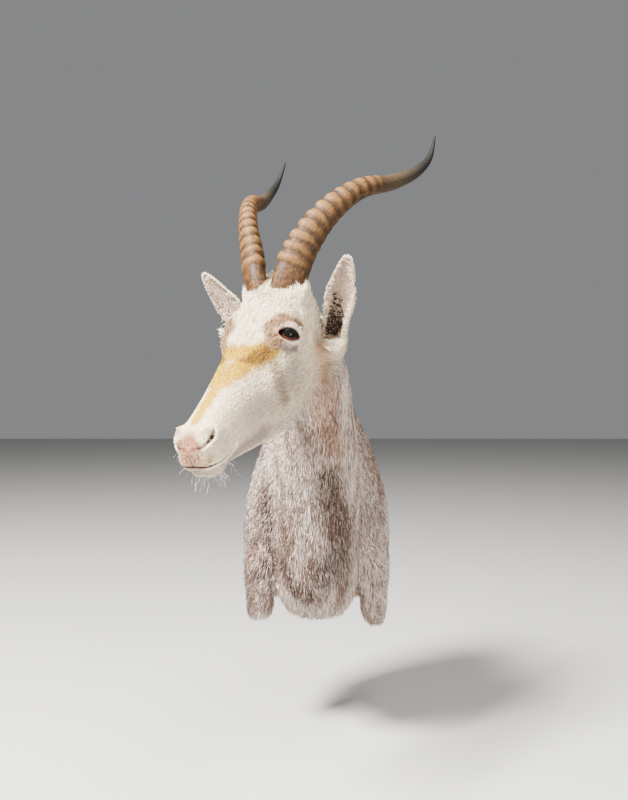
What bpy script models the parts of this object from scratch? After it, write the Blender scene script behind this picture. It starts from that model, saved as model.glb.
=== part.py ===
"""White blesbok shoulder mount: head turned to the animal's right, neck, shoulders,
two cut forelegs, glass eyes, ringed horns and the back board that hangs on the wall.

The flesh is one smooth field in millimetres, meshed once and parted with thin cuts.
Origin: centre of the flat wall side of the back board. The viewer stands at -Y,
the animal's left is +X and up is +Z.
"""

import bmesh
import bpy
import numpy as np
from mathutils import Matrix, Vector

MM = 0.001

# Head: place of the point midway between the eyes, then the three directions of the head
HEAD_AT = np.array((-87.2, -444.0, 250.2))
HEAD_NOSE = np.array((-0.3465, -0.6614, -0.6652))
HEAD_LEFT = np.array((0.8757, -0.4823, 0.0234))
HEAD_TOP = np.array((-0.3362, -0.5744, 0.7463))

# Triangles of each group of nodes, cut width and the room left round the eyes
HEAD_TRIANGLES = 7600
BODY_TRIANGLES = 4800
EAR_TRIANGLES = 1000
CUT_WIDTH = 0.3
EYE_ROOM = 0.4
HORN_ROOM = 0.4
BOARD_ROOM = 0.3

# Eyes, in head directions (nose, left, top)
EYE_CENTRE = np.array((-8.0, 42.5, -8.0))
EYE_RADIUS = 18.5
EYE_LOOK = np.array((0.467, 0.748, 0.467))
EYE_LONG = np.array((-0.459, 0.694, -0.652))
EYE_HALF_LENGTH = 16.0
EYE_UPPER = 10.0
EYE_LOWER = 9.0
LID_THICKNESS = 2.4

# Ears, in head directions, with their leaf along the length
EAR_ROOT = np.array((-85.0, 56.0, -96.0))
EAR_TIP = np.array((-117.2, 123.4, 43.0))
EAR_FACES = np.array((0.78, 0.22, 0.58))
EAR_SHELL = 3.4
EAR_SHIFT = {1: np.array((1.4, -3.5, 1.3)), -1: np.array((3.6, -6.6, 1.2))}

# Parting of the lips seen from the side: nose direction and level
MOUTH_CORNER = 166.0
MOUTH_LINE = np.array((
    (150.0, -55.0),
    (166.0, -52.0),
    (185.0, -48.0),
    (205.0, -41.0),
    (220.0, -34.0),
    (236.0, -28.0),
))

# Back board
BOARD_THICKNESS = 18.0

# Head lengthwise: nose direction, half width, level of the widest line, top, bottom
HEAD_KEYS = np.array((
    (-135.0, 26.0, -36.0, 4.0, -80.0),
    (-118.0, 40.0, -38.0, 17.0, -100.0),
    (-100.0, 48.0, -36.0, 26.0, -115.0),
    (-75.0, 52.0, -32.0, 33.5, -124.0),
    (-40.0, 53.0, -28.0, 32.5, -132.0),
    (-5.0, 50.0, -27.0, 25.0, -137.0),
    (30.0, 44.5, -36.0, 19.5, -138.0),
    (60.0, 39.5, -43.0, 16.0, -134.0),
    (90.0, 35.5, -43.0, 14.0, -122.0),
    (120.0, 32.0, -39.0, 12.5, -105.0),
    (150.0, 29.0, -34.0, 11.5, -88.0),
    (180.0, 28.0, -28.0, 11.0, -73.0),
    (205.0, 28.0, -25.0, 9.0, -64.0),
    (222.0, 26.0, -24.0, 6.0, -60.0),
    (240.0, 24.0, -24.0, 2.0, -56.0),
))

# Neck by height: centre across, half width, front and back (forward of the wall)
NECK_KEYS = np.array((
    (-217.0, 0.0, 10.0, 176.0, 50.0),
    (-211.0, 0.0, 36.0, 188.0, 20.0),
    (-202.0, 0.0, 54.0, 200.0, 0.0),
    (-187.0, 0.0, 65.0, 213.0, -24.0),
    (-151.0, 0.0, 71.0, 232.0, -24.0),
    (-99.0, 1.0, 73.0, 249.0, -24.0),
    (-47.0, 2.0, 73.0, 263.0, -24.0),
    (5.0, 2.0, 72.0, 278.0, -24.0),
    (57.0, 2.0, 70.0, 296.0, -24.0),
    (99.0, 1.0, 68.0, 314.0, -24.0),
    (140.0, -4.0, 66.0, 335.0, -20.0),
    (182.0, -9.0, 66.0, 358.0, 0.0),
    (210.0, -14.0, 64.0, 370.0, 78.0),
    (240.0, -21.0, 58.0, 372.0, 148.0),
    (270.0, -31.0, 52.0, 366.0, 196.0),
    (301.0, -42.0, 43.0, 345.0, 238.0),
    (324.0, -48.0, 32.0, 332.0, 268.0),
    (338.0, -50.0, 10.0, 318.0, 295.0),
))

# Shoulders by height: half width and depth forward of the wall
TORSO_KEYS = np.array((
    (-204.0, 12.0, 46.0),
    (-201.0, 44.0, 74.0),
    (-196.0, 84.0, 98.0),
    (-189.0, 108.0, 116.0),
    (-176.0, 123.0, 134.0),
    (-151.0, 131.0, 153.0),
    (-99.0, 134.0, 165.0),
    (-47.0, 132.0, 161.0),
    (5.0, 122.0, 150.0),
    (57.0, 107.0, 130.0),
    (109.0, 85.0, 104.0),
    (150.0, 64.0, 80.0),
    (176.0, 48.0, 64.0),
    (192.0, 30.0, 52.0),
))
TORSO_WIDEST_LINE = 42.0

# Leg stumps: centre across and forward, half sizes, lower end right and left
LEG_CENTRE = np.array((101.0, -92.0))
LEG_HALF = np.array((25.0, 44.0))
LEG_ENDS = (-230.0, -241.0)

# Horns, in head directions: nose, left, top, then the long and short half width
HORN_KEYS = np.array((
    (-72.0, 20.0, 8.0, 27.5, 18.5),
    (-98.0, 31.0, 35.0, 27.0, 18.0),
    (-127.0, 41.0, 53.0, 25.5, 17.0),
    (-179.0, 64.0, 73.0, 21.5, 14.5),
    (-254.0, 96.0, 74.0, 16.0, 12.8),
    (-333.0, 124.0, 41.0, 12.2, 11.0),
    (-387.0, 140.0, 26.0, 9.0, 8.4),
    (-436.0, 147.0, 22.0, 5.6, 5.6),
    (-490.0, 147.0, 35.0, 1.5, 1.5),
))
HORN_FRONT = np.array((0.62, 0.0, 0.78))
HORN_LONG_TURN = np.radians(40.0)
HORN_RINGS = 12
HORN_FIRST_RING = 0.10
HORN_LAST_RING = 0.575
HORN_RING_HEIGHT = 3.4
HORN_ROWS_PER_RING = 4
HORN_SIDES = 14


# Small tools for curves and fields


def lookup(keys, at):
    """Smooth values between key rows; the first column is the place."""
    places = keys[:, 0]
    slopes = np.gradient(keys[:, 1:], places, axis=0)
    at = np.clip(at, places[0], places[-1])
    row = np.clip(np.searchsorted(places, at, side="right") - 1, 0, len(places) - 2)
    span = places[row + 1] - places[row]
    t = ((at - places[row]) / span)[:, None]
    span = span[:, None]
    a = keys[row, 1:]
    b = keys[row + 1, 1:]
    smooth = t * t * (3 - 2 * t)
    bend_a = t * (1 - t) ** 2 * span * slopes[row]
    bend_b = -t * t * (1 - t) * span * slopes[row + 1]
    return (a + (b - a) * smooth + bend_a + bend_b).T


def join(a, b, blend):
    """Smooth union of two fields."""
    h = np.clip(0.5 + 0.5 * (b - a) / blend, 0, 1)
    return b + (a - b) * h - blend * h * (1 - h)


def carve(a, b, blend):
    """Field a with field b taken out."""
    return -join(-a, b, blend)


def keep(a, b, blend):
    """Smooth overlap of two fields."""
    return -join(-a, -b, blend)


def oval(x, y, half_x, half_y, power):
    """Distance from an oval section, measured along the ray from its centre."""
    reach = np.hypot(x, y) + 1e-9
    size = (np.abs(x / half_x) ** power + np.abs(y / half_y) ** power) ** (1 / power)
    return reach - reach / np.maximum(size, 1e-9)


def ball(q, centre, radii):
    """Rough distance from an ellipsoid."""
    radii = np.asarray(radii, float)
    d = q - np.asarray(centre, float)
    size = np.sqrt(((d / radii) ** 2).sum(1)) + 1e-9
    slope = np.sqrt(((d / radii**2) ** 2).sum(1)) + 1e-9
    return size * (size - 1) / slope


def rod(q, a, b, radius_a, radius_b):
    """Distance from a straight rod with a thickness at each end."""
    a = np.asarray(a, float)
    b = np.asarray(b, float)
    line = b - a
    t = np.clip((q - a) @ line / (line @ line), 0, 1)
    gap = q - a - t[:, None] * line
    return np.sqrt((gap**2).sum(1)) - (radius_a + (radius_b - radius_a) * t)


def unit(v):
    return np.asarray(v, float) / np.linalg.norm(v)


def to_head(points):
    """Row millimetres to head directions."""
    d = points - HEAD_AT
    return np.stack((d @ HEAD_NOSE, d @ HEAD_LEFT, d @ HEAD_TOP), 1)


def from_head(q):
    """Head directions to row millimetres."""
    q = np.atleast_2d(q)
    return HEAD_AT + q[:, :1] * HEAD_NOSE + q[:, 1:2] * HEAD_LEFT + q[:, 2:] * HEAD_TOP


# The flesh


def muzzle_end(q):
    """Distance past the blunt front of the muzzle."""
    rise = q[:, 2] + 24
    drop = np.where(rise > 0, rise**2 / 48, rise**2 / 66)
    slope = np.abs(rise) / 28
    return (q[:, 0] - (228 - drop - q[:, 1] ** 2 / 60)) / np.sqrt(1 + slope**2)


def skull(q):
    """The long head without its holes; q has its left side folded over the right."""
    half, level, top, bottom = lookup(HEAD_KEYS, q[:, 0])
    rise = q[:, 2] - level
    over = oval(q[:, 1], rise, half, top - level, 2.35)
    under = oval(q[:, 1], rise, half, level - bottom, 2.0)
    d = np.where(rise > 0, over, under)
    d = keep(d, muzzle_end(q), 12)
    d = keep(d, -130 - q[:, 0], 25)
    # jaw muscle and the soft cheek ridge below the eye
    d = join(d, ball(q, (16, 22, -86), (60, 19, 42)), 28)
    d = join(d, rod(q, (14, 36, -24), (66, 27, -42), 7, 5), 34)
    # rim of the eye socket and the brow
    d = join(d, ball(q, EYE_CENTRE + (-2, -8, 0), (31, 20, 26)), 16)
    d = join(d, rod(q, (10, 36, 4), (-32, 40, 7), 9, 9), 16)
    # seat of each horn
    d = join(d, ball(q, (-90, 30, 12), (26, 25, 18)), 18)
    # nostril wings, upper lip, lower lip and chin
    d = join(d, ball(q, (198, 18, -8), (20, 12, 12)), 9)
    d = join(d, ball(q, (203, 13, -31), (25, 17, 14)), 9)
    d = join(d, ball(q, (196, 8, -50), (27, 16, 14)), 9)
    return d


def head_details(q, d):
    """Lids, nostrils, parting of the mouth and the groove under the nose."""
    d = join(d, ball(q, EYE_CENTRE, [EYE_RADIUS + LID_THICKNESS] * 3), 5)
    # corner of the eye towards the nose, and a fold under and over the lids
    long = unit(EYE_LONG)
    up = np.cross(EYE_LOOK, long)
    up = up * np.sign(up[2])
    for ends in (((-14.5, 0, 16.0), (-22, -1.5, 13.5), 2.4, 1.2),
                 ((-12, -12.5, 19.2), (0, -15.2, 19.4), 1.1, 1.3),
                 ((0, -15.2, 19.4), (13, -12.5, 18.6), 1.3, 1.1),
                 ((-12, 12.8, 19.0), (0, 15.6, 19.6), 1.0, 1.3),
                 ((0, 15.6, 19.6), (14, 11.5, 19.0), 1.3, 1.0)):
        a, b = [EYE_CENTRE + e[0] * long + e[1] * up + e[2] * EYE_LOOK for e in ends[:2]]
        d = carve(d, rod(q, a, b, ends[2], ends[3]), 3.5)
    # nostrils: a comma from the high back end forward and down
    d = carve(d, rod(q, (189, 31, 0), (197, 28, -6), 2.2, 4.0), 2)
    d = carve(d, rod(q, (197, 28, -6), (209, 19, -10), 4.0, 4.4), 2)
    d = carve(d, rod(q, (209, 21, -12), (220, 12, -15), 3.0, 1.6), 3)
    # parting of the lips: a groove that narrows inward
    level = lookup(MOUTH_LINE, q[:, 0])[0]
    depth = np.clip(d, -6, 2)
    parting = np.abs(q[:, 2] - level) - 2.1 - 0.45 * depth
    parting = np.maximum(parting, (MOUTH_CORNER - q[:, 0]) * 0.6)
    d = carve(d, parting, 2.0)
    # groove from between the nostrils to the mouth
    return carve(d, rod(q, (226, 0, -9), (231, 0, -28), 1.4, 1.8), 3)


def ear_frame():
    along = EAR_TIP - EAR_ROOT
    length = np.linalg.norm(along)
    along = along / length
    face = EAR_FACES - along * (EAR_FACES @ along)
    face = unit(face)
    return along, face, np.cross(along, face), length


EAR_LEAF = np.array((
    (-14.0, 15.0, 14.0),
    (0.0, 21.5, 20.0),
    (14.0, 23.0, 21.0),
    (30.0, 21.5, 19.0),
    (54.0, 20.5, 16.0),
    (85.0, 23.5, 13.0),
    (100.0, 23.5, 11.0),
    (115.0, 19.5, 9.0),
    (130.0, 13.5, 7.0),
    (150.0, 6.5, 4.2),
    (160.0, 3.0, 3.0),
))


def ear(q):
    """The left ear: a leaf-shaped cup on a round root."""
    along, face, side, length = ear_frame()
    d = q - EAR_ROOT
    t = d @ along
    x = d @ side
    y = d @ face
    half, deep = lookup(EAR_LEAF, t)
    outer = oval(x, y, half, deep, 2.0)
    outer = keep(outer, t - length, 3)
    outer = keep(outer, -12 - t, 12)
    shell = EAR_SHELL + np.clip((t - 120) / 40, 0, 1)
    hollow = keep(outer + shell, 21 - t, 8)
    open_front = keep(deep * 0.2 - y, 27 - t - deep * 0.5, 8)
    solid = carve(outer, open_front, 2.5)
    solid = carve(solid, hollow, 1.5)
    return solid, hollow


def neck(points):
    centre, half, front, back = lookup(NECK_KEYS, points[:, 2])
    middle = -(front + back) / 2
    d = oval(points[:, 0] - centre, points[:, 1] - middle, half, (front - back) / 2, 2.2)
    d = keep(d, -214 - points[:, 2], 16)
    return keep(d, points[:, 2] - 338, 16)


def torso(points):
    """Shoulders, cut flat at the board."""
    half, deep = lookup(TORSO_KEYS, points[:, 2])
    y = points[:, 1] + TORSO_WIDEST_LINE
    reach = np.maximum(deep - TORSO_WIDEST_LINE, 6.0)
    front = oval(points[:, 0], y, half, reach, 2.1)
    back = np.abs(points[:, 0]) - half + np.maximum(y, 0) * 0.12
    d = np.where(y < 0, front, back)
    d = keep(d, -201 - points[:, 2], 14)
    return keep(d, points[:, 2] - 190, 24)


def leg(points):
    """Both leg stumps."""
    x = np.abs(points[:, 0]) - LEG_CENTRE[0] + (points[:, 2] + 200) * 0.10
    y = points[:, 1] - LEG_CENTRE[1]
    thin = 1 + np.clip((points[:, 2] + 200) / 160, -0.2, 0.5)
    d = oval(x, y, LEG_HALF[0] * thin, LEG_HALF[1] * thin, 2.2)
    end = np.where(points[:, 0] > 0, LEG_ENDS[1], LEG_ENDS[0])
    d = keep(d, end - points[:, 2], 14)
    return keep(d, points[:, 2] + 90, 70)


def body(points):
    d = join(torso(points), neck(points), 26)
    d = join(d, leg(points), 16)
    return d


def flesh(points):
    """The whole soft form: head, ears, neck, shoulders and leg stumps."""
    q = to_head(points)
    beside = q - np.where(q[:, 1:2] > 0, EAR_SHIFT[1], EAR_SHIFT[-1])
    beside[:, 1] = np.abs(beside[:, 1])
    q[:, 1] = np.abs(q[:, 1])
    solid, hollow = ear(beside)
    d = join(skull(q), body(points), 30)
    d = join(d, ball(q, (-85, 44, -88), (26, 22, 26)), 18)
    d = join(d, solid, 12)
    d = head_details(q, d)
    d = carve(d, hollow, 2)
    return d


# Meshing a field


def surface_net(field, low, high, step):
    """Points and four-sided faces of the zero level of a field inside a box."""
    ratio = 4
    low = np.asarray(low, float)
    cells = np.ceil((np.asarray(high) - low) / (step * ratio)).astype(int)
    coarse_axes = [low[i] + step * ratio * np.arange(cells[i] + 1) for i in range(3)]
    grid = np.stack(np.meshgrid(*coarse_axes, indexing="ij"), -1).reshape(-1, 3)
    coarse = in_parts(field, grid).reshape(cells + 1)
    near = np.zeros(cells, bool)
    low_sign = np.ones(cells, bool)
    high_sign = np.ones(cells, bool)
    for i in (0, 1):
        for j in (0, 1):
            for k in (0, 1):
                end = (i + cells[0], j + cells[1], k + cells[2])
                corner = coarse[i:end[0], j:end[1], k:end[2]]
                near |= np.abs(corner) < step * ratio * 1.3
                low_sign &= corner < 0
                high_sign &= corner >= 0
    near |= ~(low_sign | high_sign)
    index = [np.arange(c * ratio + 1) for c in cells]
    nearest = [np.clip((i + ratio // 2) // ratio, 0, c) for i, c in zip(index, cells)]
    holder = [np.minimum(i // ratio, c - 1) for i, c in zip(index, cells)]
    fine = coarse[np.ix_(*nearest)].astype(np.float64)
    close = near[np.ix_(*holder)]
    places = np.argwhere(close)
    fine[close] = in_parts(field, low + step * places)
    return net_from_grid(fine, low, step)


def in_parts(field, points, part=400000):
    pieces = [field(points[i:i + part]) for i in range(0, len(points), part)]
    return np.concatenate(pieces)


def untangle(values, step):
    """Fills corner-to-corner contacts, where the net would touch itself."""
    for _ in range(8):
        found = 0
        for axis in range(3):
            views = []
            for i, j in ((0, 0), (1, 0), (1, 1), (0, 1)):
                pick = [slice(None)] * 3
                one, two = [k for k in range(3) if k != axis]
                pick[one] = slice(i, values.shape[one] - 1 + i)
                pick[two] = slice(j, values.shape[two] - 1 + j)
                views.append(values[tuple(pick)])
            a, b, c, d = [view < 0 for view in views]
            first = a & c & ~b & ~d
            second = b & d & ~a & ~c
            found += first.sum() + second.sum()
            for clash, out_one, out_two in ((first, 1, 3), (second, 0, 2)):
                nearer = views[out_one] < views[out_two]
                views[out_one][clash & nearer] = -0.02 * step
                views[out_two][clash & ~nearer] = -0.02 * step
        found += fill_diagonals(values, step)
        if not found:
            break
    return values


def fill_diagonals(values, step):
    """The same for two corners of a cell that face each other through it."""
    inside = values < 0
    shape = np.array(values.shape)
    total = cell_total(inside)
    found = 0
    for i, j in ((0, 0), (0, 1), (1, 0), (1, 1)):
        near = inside[i:shape[0] - 1 + i, j:shape[1] - 1 + j, :-1]
        far = inside[1 - i:shape[0] - i, 1 - j:shape[1] - j, 1:]
        filled = (total == 6) & ~near & ~far
        lone = (total == 2) & near & far
        found += filled.sum() + lone.sum()
        view = values[i:shape[0] - 1 + i, j:shape[1] - 1 + j, :-1]
        view[filled] = -0.02 * step
        view[lone] = 0.02 * step
    return found


def cell_total(inside):
    """Number of corners of each cell that lie inside."""
    shape = np.array(inside.shape)
    total = np.zeros(shape - 1, np.uint8)
    for i in (0, 1):
        for j in (0, 1):
            for k in (0, 1):
                end = shape - 1 + (i, j, k)
                total += inside[i:end[0], j:end[1], k:end[2]]
    return total


def net_from_grid(values, low, step):
    values = untangle(values, step)
    inside = values < 0
    shape = np.array(values.shape)
    total = cell_total(inside)
    mixed = (total > 0) & (total < 8)
    cells = np.argwhere(mixed)
    number = np.full(shape - 1, -1, np.int64)
    number[mixed] = np.arange(len(cells))
    place_sum = np.zeros((len(cells), 3))
    count = np.zeros(len(cells))
    for axis in range(3):
        step_on = np.eye(3, dtype=int)[axis]
        others = [i for i in range(3) if i != axis]
        for i in (0, 1):
            for j in (0, 1):
                offset = np.zeros(3, int)
                offset[others[0]] = i
                offset[others[1]] = j
                a = cells + offset
                b = a + step_on
                value_a = values[tuple(a.T)]
                value_b = values[tuple(b.T)]
                crossed = (value_a < 0) != (value_b < 0)
                gap = np.where(crossed, value_a - value_b, 1.0)
                t = np.where(crossed, value_a / gap, 0.0)
                place_sum += (a + t[:, None] * step_on) * crossed[:, None]
                count += crossed
    points = low + step * place_sum / count[:, None]
    faces = []
    for axis in range(3):
        one, two = [(1, 2), (2, 0), (0, 1)][axis]
        cut = [slice(None)] * 3
        cut[axis] = slice(0, -1)
        ahead = [slice(None)] * 3
        ahead[axis] = slice(1, None)
        flips = inside[tuple(cut)] != inside[tuple(ahead)]
        nodes = np.argwhere(flips)
        fits = (nodes[:, one] > 0) & (nodes[:, two] > 0)
        fits &= (nodes[:, one] < shape[one] - 1) & (nodes[:, two] < shape[two] - 1)
        nodes = nodes[fits]
        step_one = np.eye(3, dtype=int)[one]
        step_two = np.eye(3, dtype=int)[two]
        around = [nodes - step_one - step_two, nodes - step_two, nodes, nodes - step_one]
        quad = np.stack([number[tuple(c.T)] for c in around], 1)
        outward = inside[tuple(nodes.T)]
        quad[~outward] = quad[~outward, ::-1]
        faces.append(quad)
    return points, np.concatenate(faces)


def gradient(field, points, reach=0.2):
    out = np.zeros_like(points)
    for axis in range(3):
        shift = np.zeros(3)
        shift[axis] = reach
        out[:, axis] = (field(points + shift) - field(points - shift)) / (2 * reach)
    return out


def settle(field, points, most, rounds=3):
    """Moves points onto the zero level."""
    for _ in range(rounds):
        slope = gradient(field, points)
        size = np.maximum((slope**2).sum(1), 0.05)
        move = -field(points)[:, None] * slope / size[:, None]
        length = np.linalg.norm(move, axis=1, keepdims=True) + 1e-9
        points = points + move * np.minimum(1, most / length)
    return points


def relax(points, faces, rounds):
    """Evens out the spacing of the points."""
    a = faces.ravel()
    b = np.roll(faces, -1, 1).ravel()
    count = np.bincount(a, minlength=len(points)) + np.bincount(b, minlength=len(points))
    count = np.maximum(count, 1)
    for _ in range(rounds):
        total = np.zeros_like(points)
        for axis in range(3):
            total[:, axis] = np.bincount(a, points[b, axis], len(points))
            total[:, axis] += np.bincount(b, points[a, axis], len(points))
        points = points + 0.5 * (total / count[:, None] - points)
    return points


# Objects and their cuts


def clear_scene():
    for item in list(bpy.data.objects):
        bpy.data.objects.remove(item)
    for item in list(bpy.data.meshes):
        bpy.data.meshes.remove(item)


def new_object(name, points, faces):
    """An object from millimetre points."""
    mesh = bpy.data.meshes.new(name)
    faces = [[int(i) for i in face] for face in faces]
    mesh.from_pydata((np.asarray(points) * MM).tolist(), [], faces)
    mesh.validate()
    item = bpy.data.objects.new(name, mesh)
    bpy.context.scene.collection.objects.link(item)
    return item


def take_modifiers(item):
    """Turns an object's modifiers into its own mesh."""
    bpy.context.view_layer.update()
    graph = bpy.context.evaluated_depsgraph_get()
    mesh = bpy.data.meshes.new_from_object(item.evaluated_get(graph))
    item.modifiers.clear()
    old = item.data
    item.data = mesh
    bpy.data.meshes.remove(old)


def thin_out(item, triangles):
    """Lowers the number of triangles, keeping the form."""
    bm = bmesh.new()
    bm.from_mesh(item.data)
    bmesh.ops.triangulate(bm, faces=bm.faces)
    bm.to_mesh(item.data)
    bm.free()
    modifier = item.modifiers.new("fewer", "DECIMATE")
    modifier.ratio = triangles / len(item.data.polygons)
    take_modifiers(item)


def cut(item, cutter, operation="DIFFERENCE"):
    modifier = item.modifiers.new("cut", "BOOLEAN")
    modifier.operation = operation
    modifier.solver = "EXACT"
    modifier.object = cutter
    take_modifiers(item)


def box_cutter(centre, axis, side, size):
    """A box in millimetres, turned so that its height runs along the axis."""
    axis = unit(axis)
    side = np.asarray(side, float) - axis * (np.asarray(side, float) @ axis)
    side = unit(side)
    other = np.cross(axis, side)
    corners = []
    for k in (-0.5, 0.5):
        for i, j in ((-0.5, -0.5), (0.5, -0.5), (0.5, 0.5), (-0.5, 0.5)):
            offset = i * size[0] * side + j * size[1] * other + k * size[2] * axis
            corners.append(np.asarray(centre) + offset)
    faces = [(3, 2, 1, 0), (4, 5, 6, 7), (0, 1, 5, 4), (1, 2, 6, 5), (2, 3, 7, 6)]
    faces.append((3, 0, 4, 7))
    return as_cutter(new_object("cutter", corners, faces))


def as_cutter(item):
    item.hide_render = True
    item.display_type = "WIRE"
    return item


def remove(item):
    mesh = item.data
    bpy.data.objects.remove(item)
    bpy.data.meshes.remove(mesh)


def loose_parts(item):
    """Splits an object into its separate closed bodies, largest first."""
    bm = bmesh.new()
    bm.from_mesh(item.data)
    bmesh.ops.remove_doubles(bm, verts=bm.verts, dist=1e-7)
    bmesh.ops.dissolve_degenerate(bm, edges=bm.edges, dist=1e-7)
    bm.verts.ensure_lookup_table()
    seen = set()
    groups = []
    for start in bm.verts:
        if start.index in seen:
            continue
        group = []
        queue = [start]
        seen.add(start.index)
        while queue:
            vert = queue.pop()
            group.append(vert)
            for edge in vert.link_edges:
                other = edge.other_vert(vert)
                if other.index not in seen:
                    seen.add(other.index)
                    queue.append(other)
        groups.append(group)
    parts = []
    for group in sorted(groups, key=len, reverse=True):
        if len(group) < 30:
            continue
        number = {vert.index: place for place, vert in enumerate(group)}
        faces = {face for vert in group for face in vert.link_faces}
        order = sorted(faces, key=lambda face: face.index)
        polygons = [[number[v.index] for v in face.verts] for face in order]
        points = [tuple(v.co) for v in group]
        mesh = bpy.data.meshes.new("part")
        mesh.from_pydata(points, [], polygons)
        part = bpy.data.objects.new("part", mesh)
        bpy.context.scene.collection.objects.link(part)
        parts.append(part)
    bm.free()
    remove(item)
    return parts


def centre_of(item):
    points = np.array([tuple(v.co) for v in item.data.vertices]) / MM
    return points.mean(0)


def name_part(parts, name, test):
    """Gives a name to the largest part that a test on its centre accepts."""
    for part in parts:
        if part.name.startswith("part") and test(centre_of(part)):
            part.name = name
            part.data.name = name
            return part
    raise RuntimeError("no body found for " + name)


def drop_unnamed(parts):
    for part in parts:
        if part.name.startswith("part"):
            remove(part)


def material(name, colour, roughness, metallic=0.0):
    item = bpy.data.materials.new(name)
    item.use_nodes = True
    shader = item.node_tree.nodes["Principled BSDF"]
    shader.inputs["Base Color"].default_value = (*colour, 1.0)
    shader.inputs["Roughness"].default_value = roughness
    shader.inputs["Metallic"].default_value = metallic
    return item


def finish_mesh(item, finish, smooth_angle=40.0):
    """Triangles facing out, a material, and smooth shading with crisp edges."""
    bm = bmesh.new()
    bm.from_mesh(item.data)
    bmesh.ops.remove_doubles(bm, verts=bm.verts, dist=2e-7)
    bmesh.ops.dissolve_degenerate(bm, edges=bm.edges, dist=2e-7)
    bmesh.ops.triangulate(bm, faces=bm.faces)
    bmesh.ops.recalc_face_normals(bm, faces=bm.faces)
    bm.to_mesh(item.data)
    bm.free()
    item.data.materials.clear()
    item.data.materials.append(finish)
    for face in item.data.polygons:
        face.use_smooth = True
    item.data.set_sharp_from_angle(angle=np.radians(smooth_angle))


# The pieces


HEAD_CUT_AT = np.array((-10.0, -322.0, 206.0))
HEAD_CUT_FACES = unit((-0.40, -0.68, 0.61))
NECK_CUT_AT = np.array((0.0, -150.0, 100.0))
NECK_CUT_FACES = unit((0.0, -0.605, 0.796))
EAR_CUT_ALONG = 54.0


def flesh_mesh(name, low, high, step, triangles):
    """The flesh inside a box, closed where the box ends."""
    low = np.asarray(low, float)
    high = np.asarray(high, float)

    def boxed(points):
        beyond = np.maximum(low + 1.5 * step - points, points - high + 1.5 * step)
        return np.maximum(flesh(points), beyond.max(1))

    points, faces = surface_net(boxed, low, high, step)
    points = settle(boxed, points, step)
    points = relax(points, faces, 2)
    points = settle(boxed, points, step)
    item = new_object(name, points, faces)
    thin_out(item, triangles)
    return item


def ear_place(side, along):
    """A point along one ear and its two directions, in row millimetres."""
    mirror = np.array((1, side, 1))
    line, face, _, _ = ear_frame()
    at = from_head((EAR_ROOT + line * along) * mirror + EAR_SHIFT[side])[0]
    return at, from_head(line * mirror)[0] - HEAD_AT, from_head(face * mirror)[0] - HEAD_AT


def make_head():
    """Head without its ears, from the fine mesh; the neck side is cut away."""
    item = flesh_mesh("head_whole", (-200, -620, 10), (75, -200, 380), 1.9,
                      HEAD_TRIANGLES)
    behind = HEAD_CUT_AT - HEAD_CUT_FACES * (400 - CUT_WIDTH / 2)
    cutter = box_cutter(behind, HEAD_CUT_FACES, HEAD_LEFT, (1500, 1500, 800))
    cut(item, cutter)
    remove(cutter)
    for side in (1, -1):
        at, axis, facing = ear_place(side, EAR_CUT_ALONG)
        cutter = box_cutter(at, axis, facing, (51, 51, CUT_WIDTH))
        cut(item, cutter)
        remove(cutter)
        cut_eye(item, np.array((1, side, 1)))
    return item


def make_ear(side):
    """One ear from its own finer mesh, cut at its root."""
    name = "ear_left" if side > 0 else "ear_right"
    tip, _, _ = ear_place(side, np.linalg.norm(EAR_TIP - EAR_ROOT))
    root, axis, facing = ear_place(side, 0)
    low = np.minimum(tip, root) - 34
    high = np.maximum(tip, root) + 34
    item = flesh_mesh(name, low, high, 1.5, 2 * EAR_TRIANGLES)
    at, _, _ = ear_place(side, EAR_CUT_ALONG)
    beyond = at + axis * (90 + CUT_WIDTH / 2)
    cutter = box_cutter(beyond, axis, facing, (51, 51, 180))
    cut(item, cutter, "INTERSECT")
    remove(cutter)
    return nearest_part(loose_parts(item), tip, name)


def nearest_part(parts, place, name):
    """Keeps the body that comes nearest to a place and gives it a name."""

    def gap(part):
        points = np.array([tuple(v.co) for v in part.data.vertices]) / MM
        return np.linalg.norm(points - place, axis=1).min()

    parts.sort(key=gap)
    for part in parts[1:]:
        remove(part)
    parts[0].name = name
    parts[0].data.name = name
    return parts[0]


def cut_eye(item, mirror):
    """Opens the lids over a round socket."""
    opening = lid_cutter(mirror)
    cut(item, opening)
    remove(opening)
    socket = as_cutter(eye_ball("socket", mirror, EYE_RADIUS + EYE_ROOM))
    cut(item, socket)
    remove(socket)


def lid_cutter(mirror):
    """The almond between the lids, run outward from inside the eye."""
    look = unit(EYE_LOOK)
    long = unit(EYE_LONG - look * (EYE_LONG @ look))
    up = np.cross(look, long)
    if up[2] < 0:
        up = -up
    outline = []
    turns = np.linspace(0, 2 * np.pi, 28, endpoint=False)
    for turn in turns:
        x = np.cos(turn)
        height = EYE_UPPER if np.sin(turn) > 0 else EYE_LOWER
        y = np.sign(np.sin(turn)) * height * np.abs(np.sin(turn)) ** 1.35
        outline.append(x * EYE_HALF_LENGTH * long + y * up)
    outline = np.array(outline)
    rings = [outline * 0.75 + look * 8, outline + look * 17, outline * 1.18 + look * 40]
    points = (np.concatenate(rings) + EYE_CENTRE) * mirror
    count = len(outline)
    faces = [list(range(count))[::-1], list(range(2 * count, 3 * count))]
    for row in range(2):
        for i in range(count):
            j = (i + 1) % count
            a = row * count
            faces.append([a + i, a + j, a + count + j, a + count + i])
    item = new_object("lids", from_head(points), faces)
    face_out(item)
    return as_cutter(item)


def face_out(item):
    bm = bmesh.new()
    bm.from_mesh(item.data)
    bmesh.ops.recalc_face_normals(bm, faces=bm.faces)
    bm.to_mesh(item.data)
    bm.free()


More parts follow.
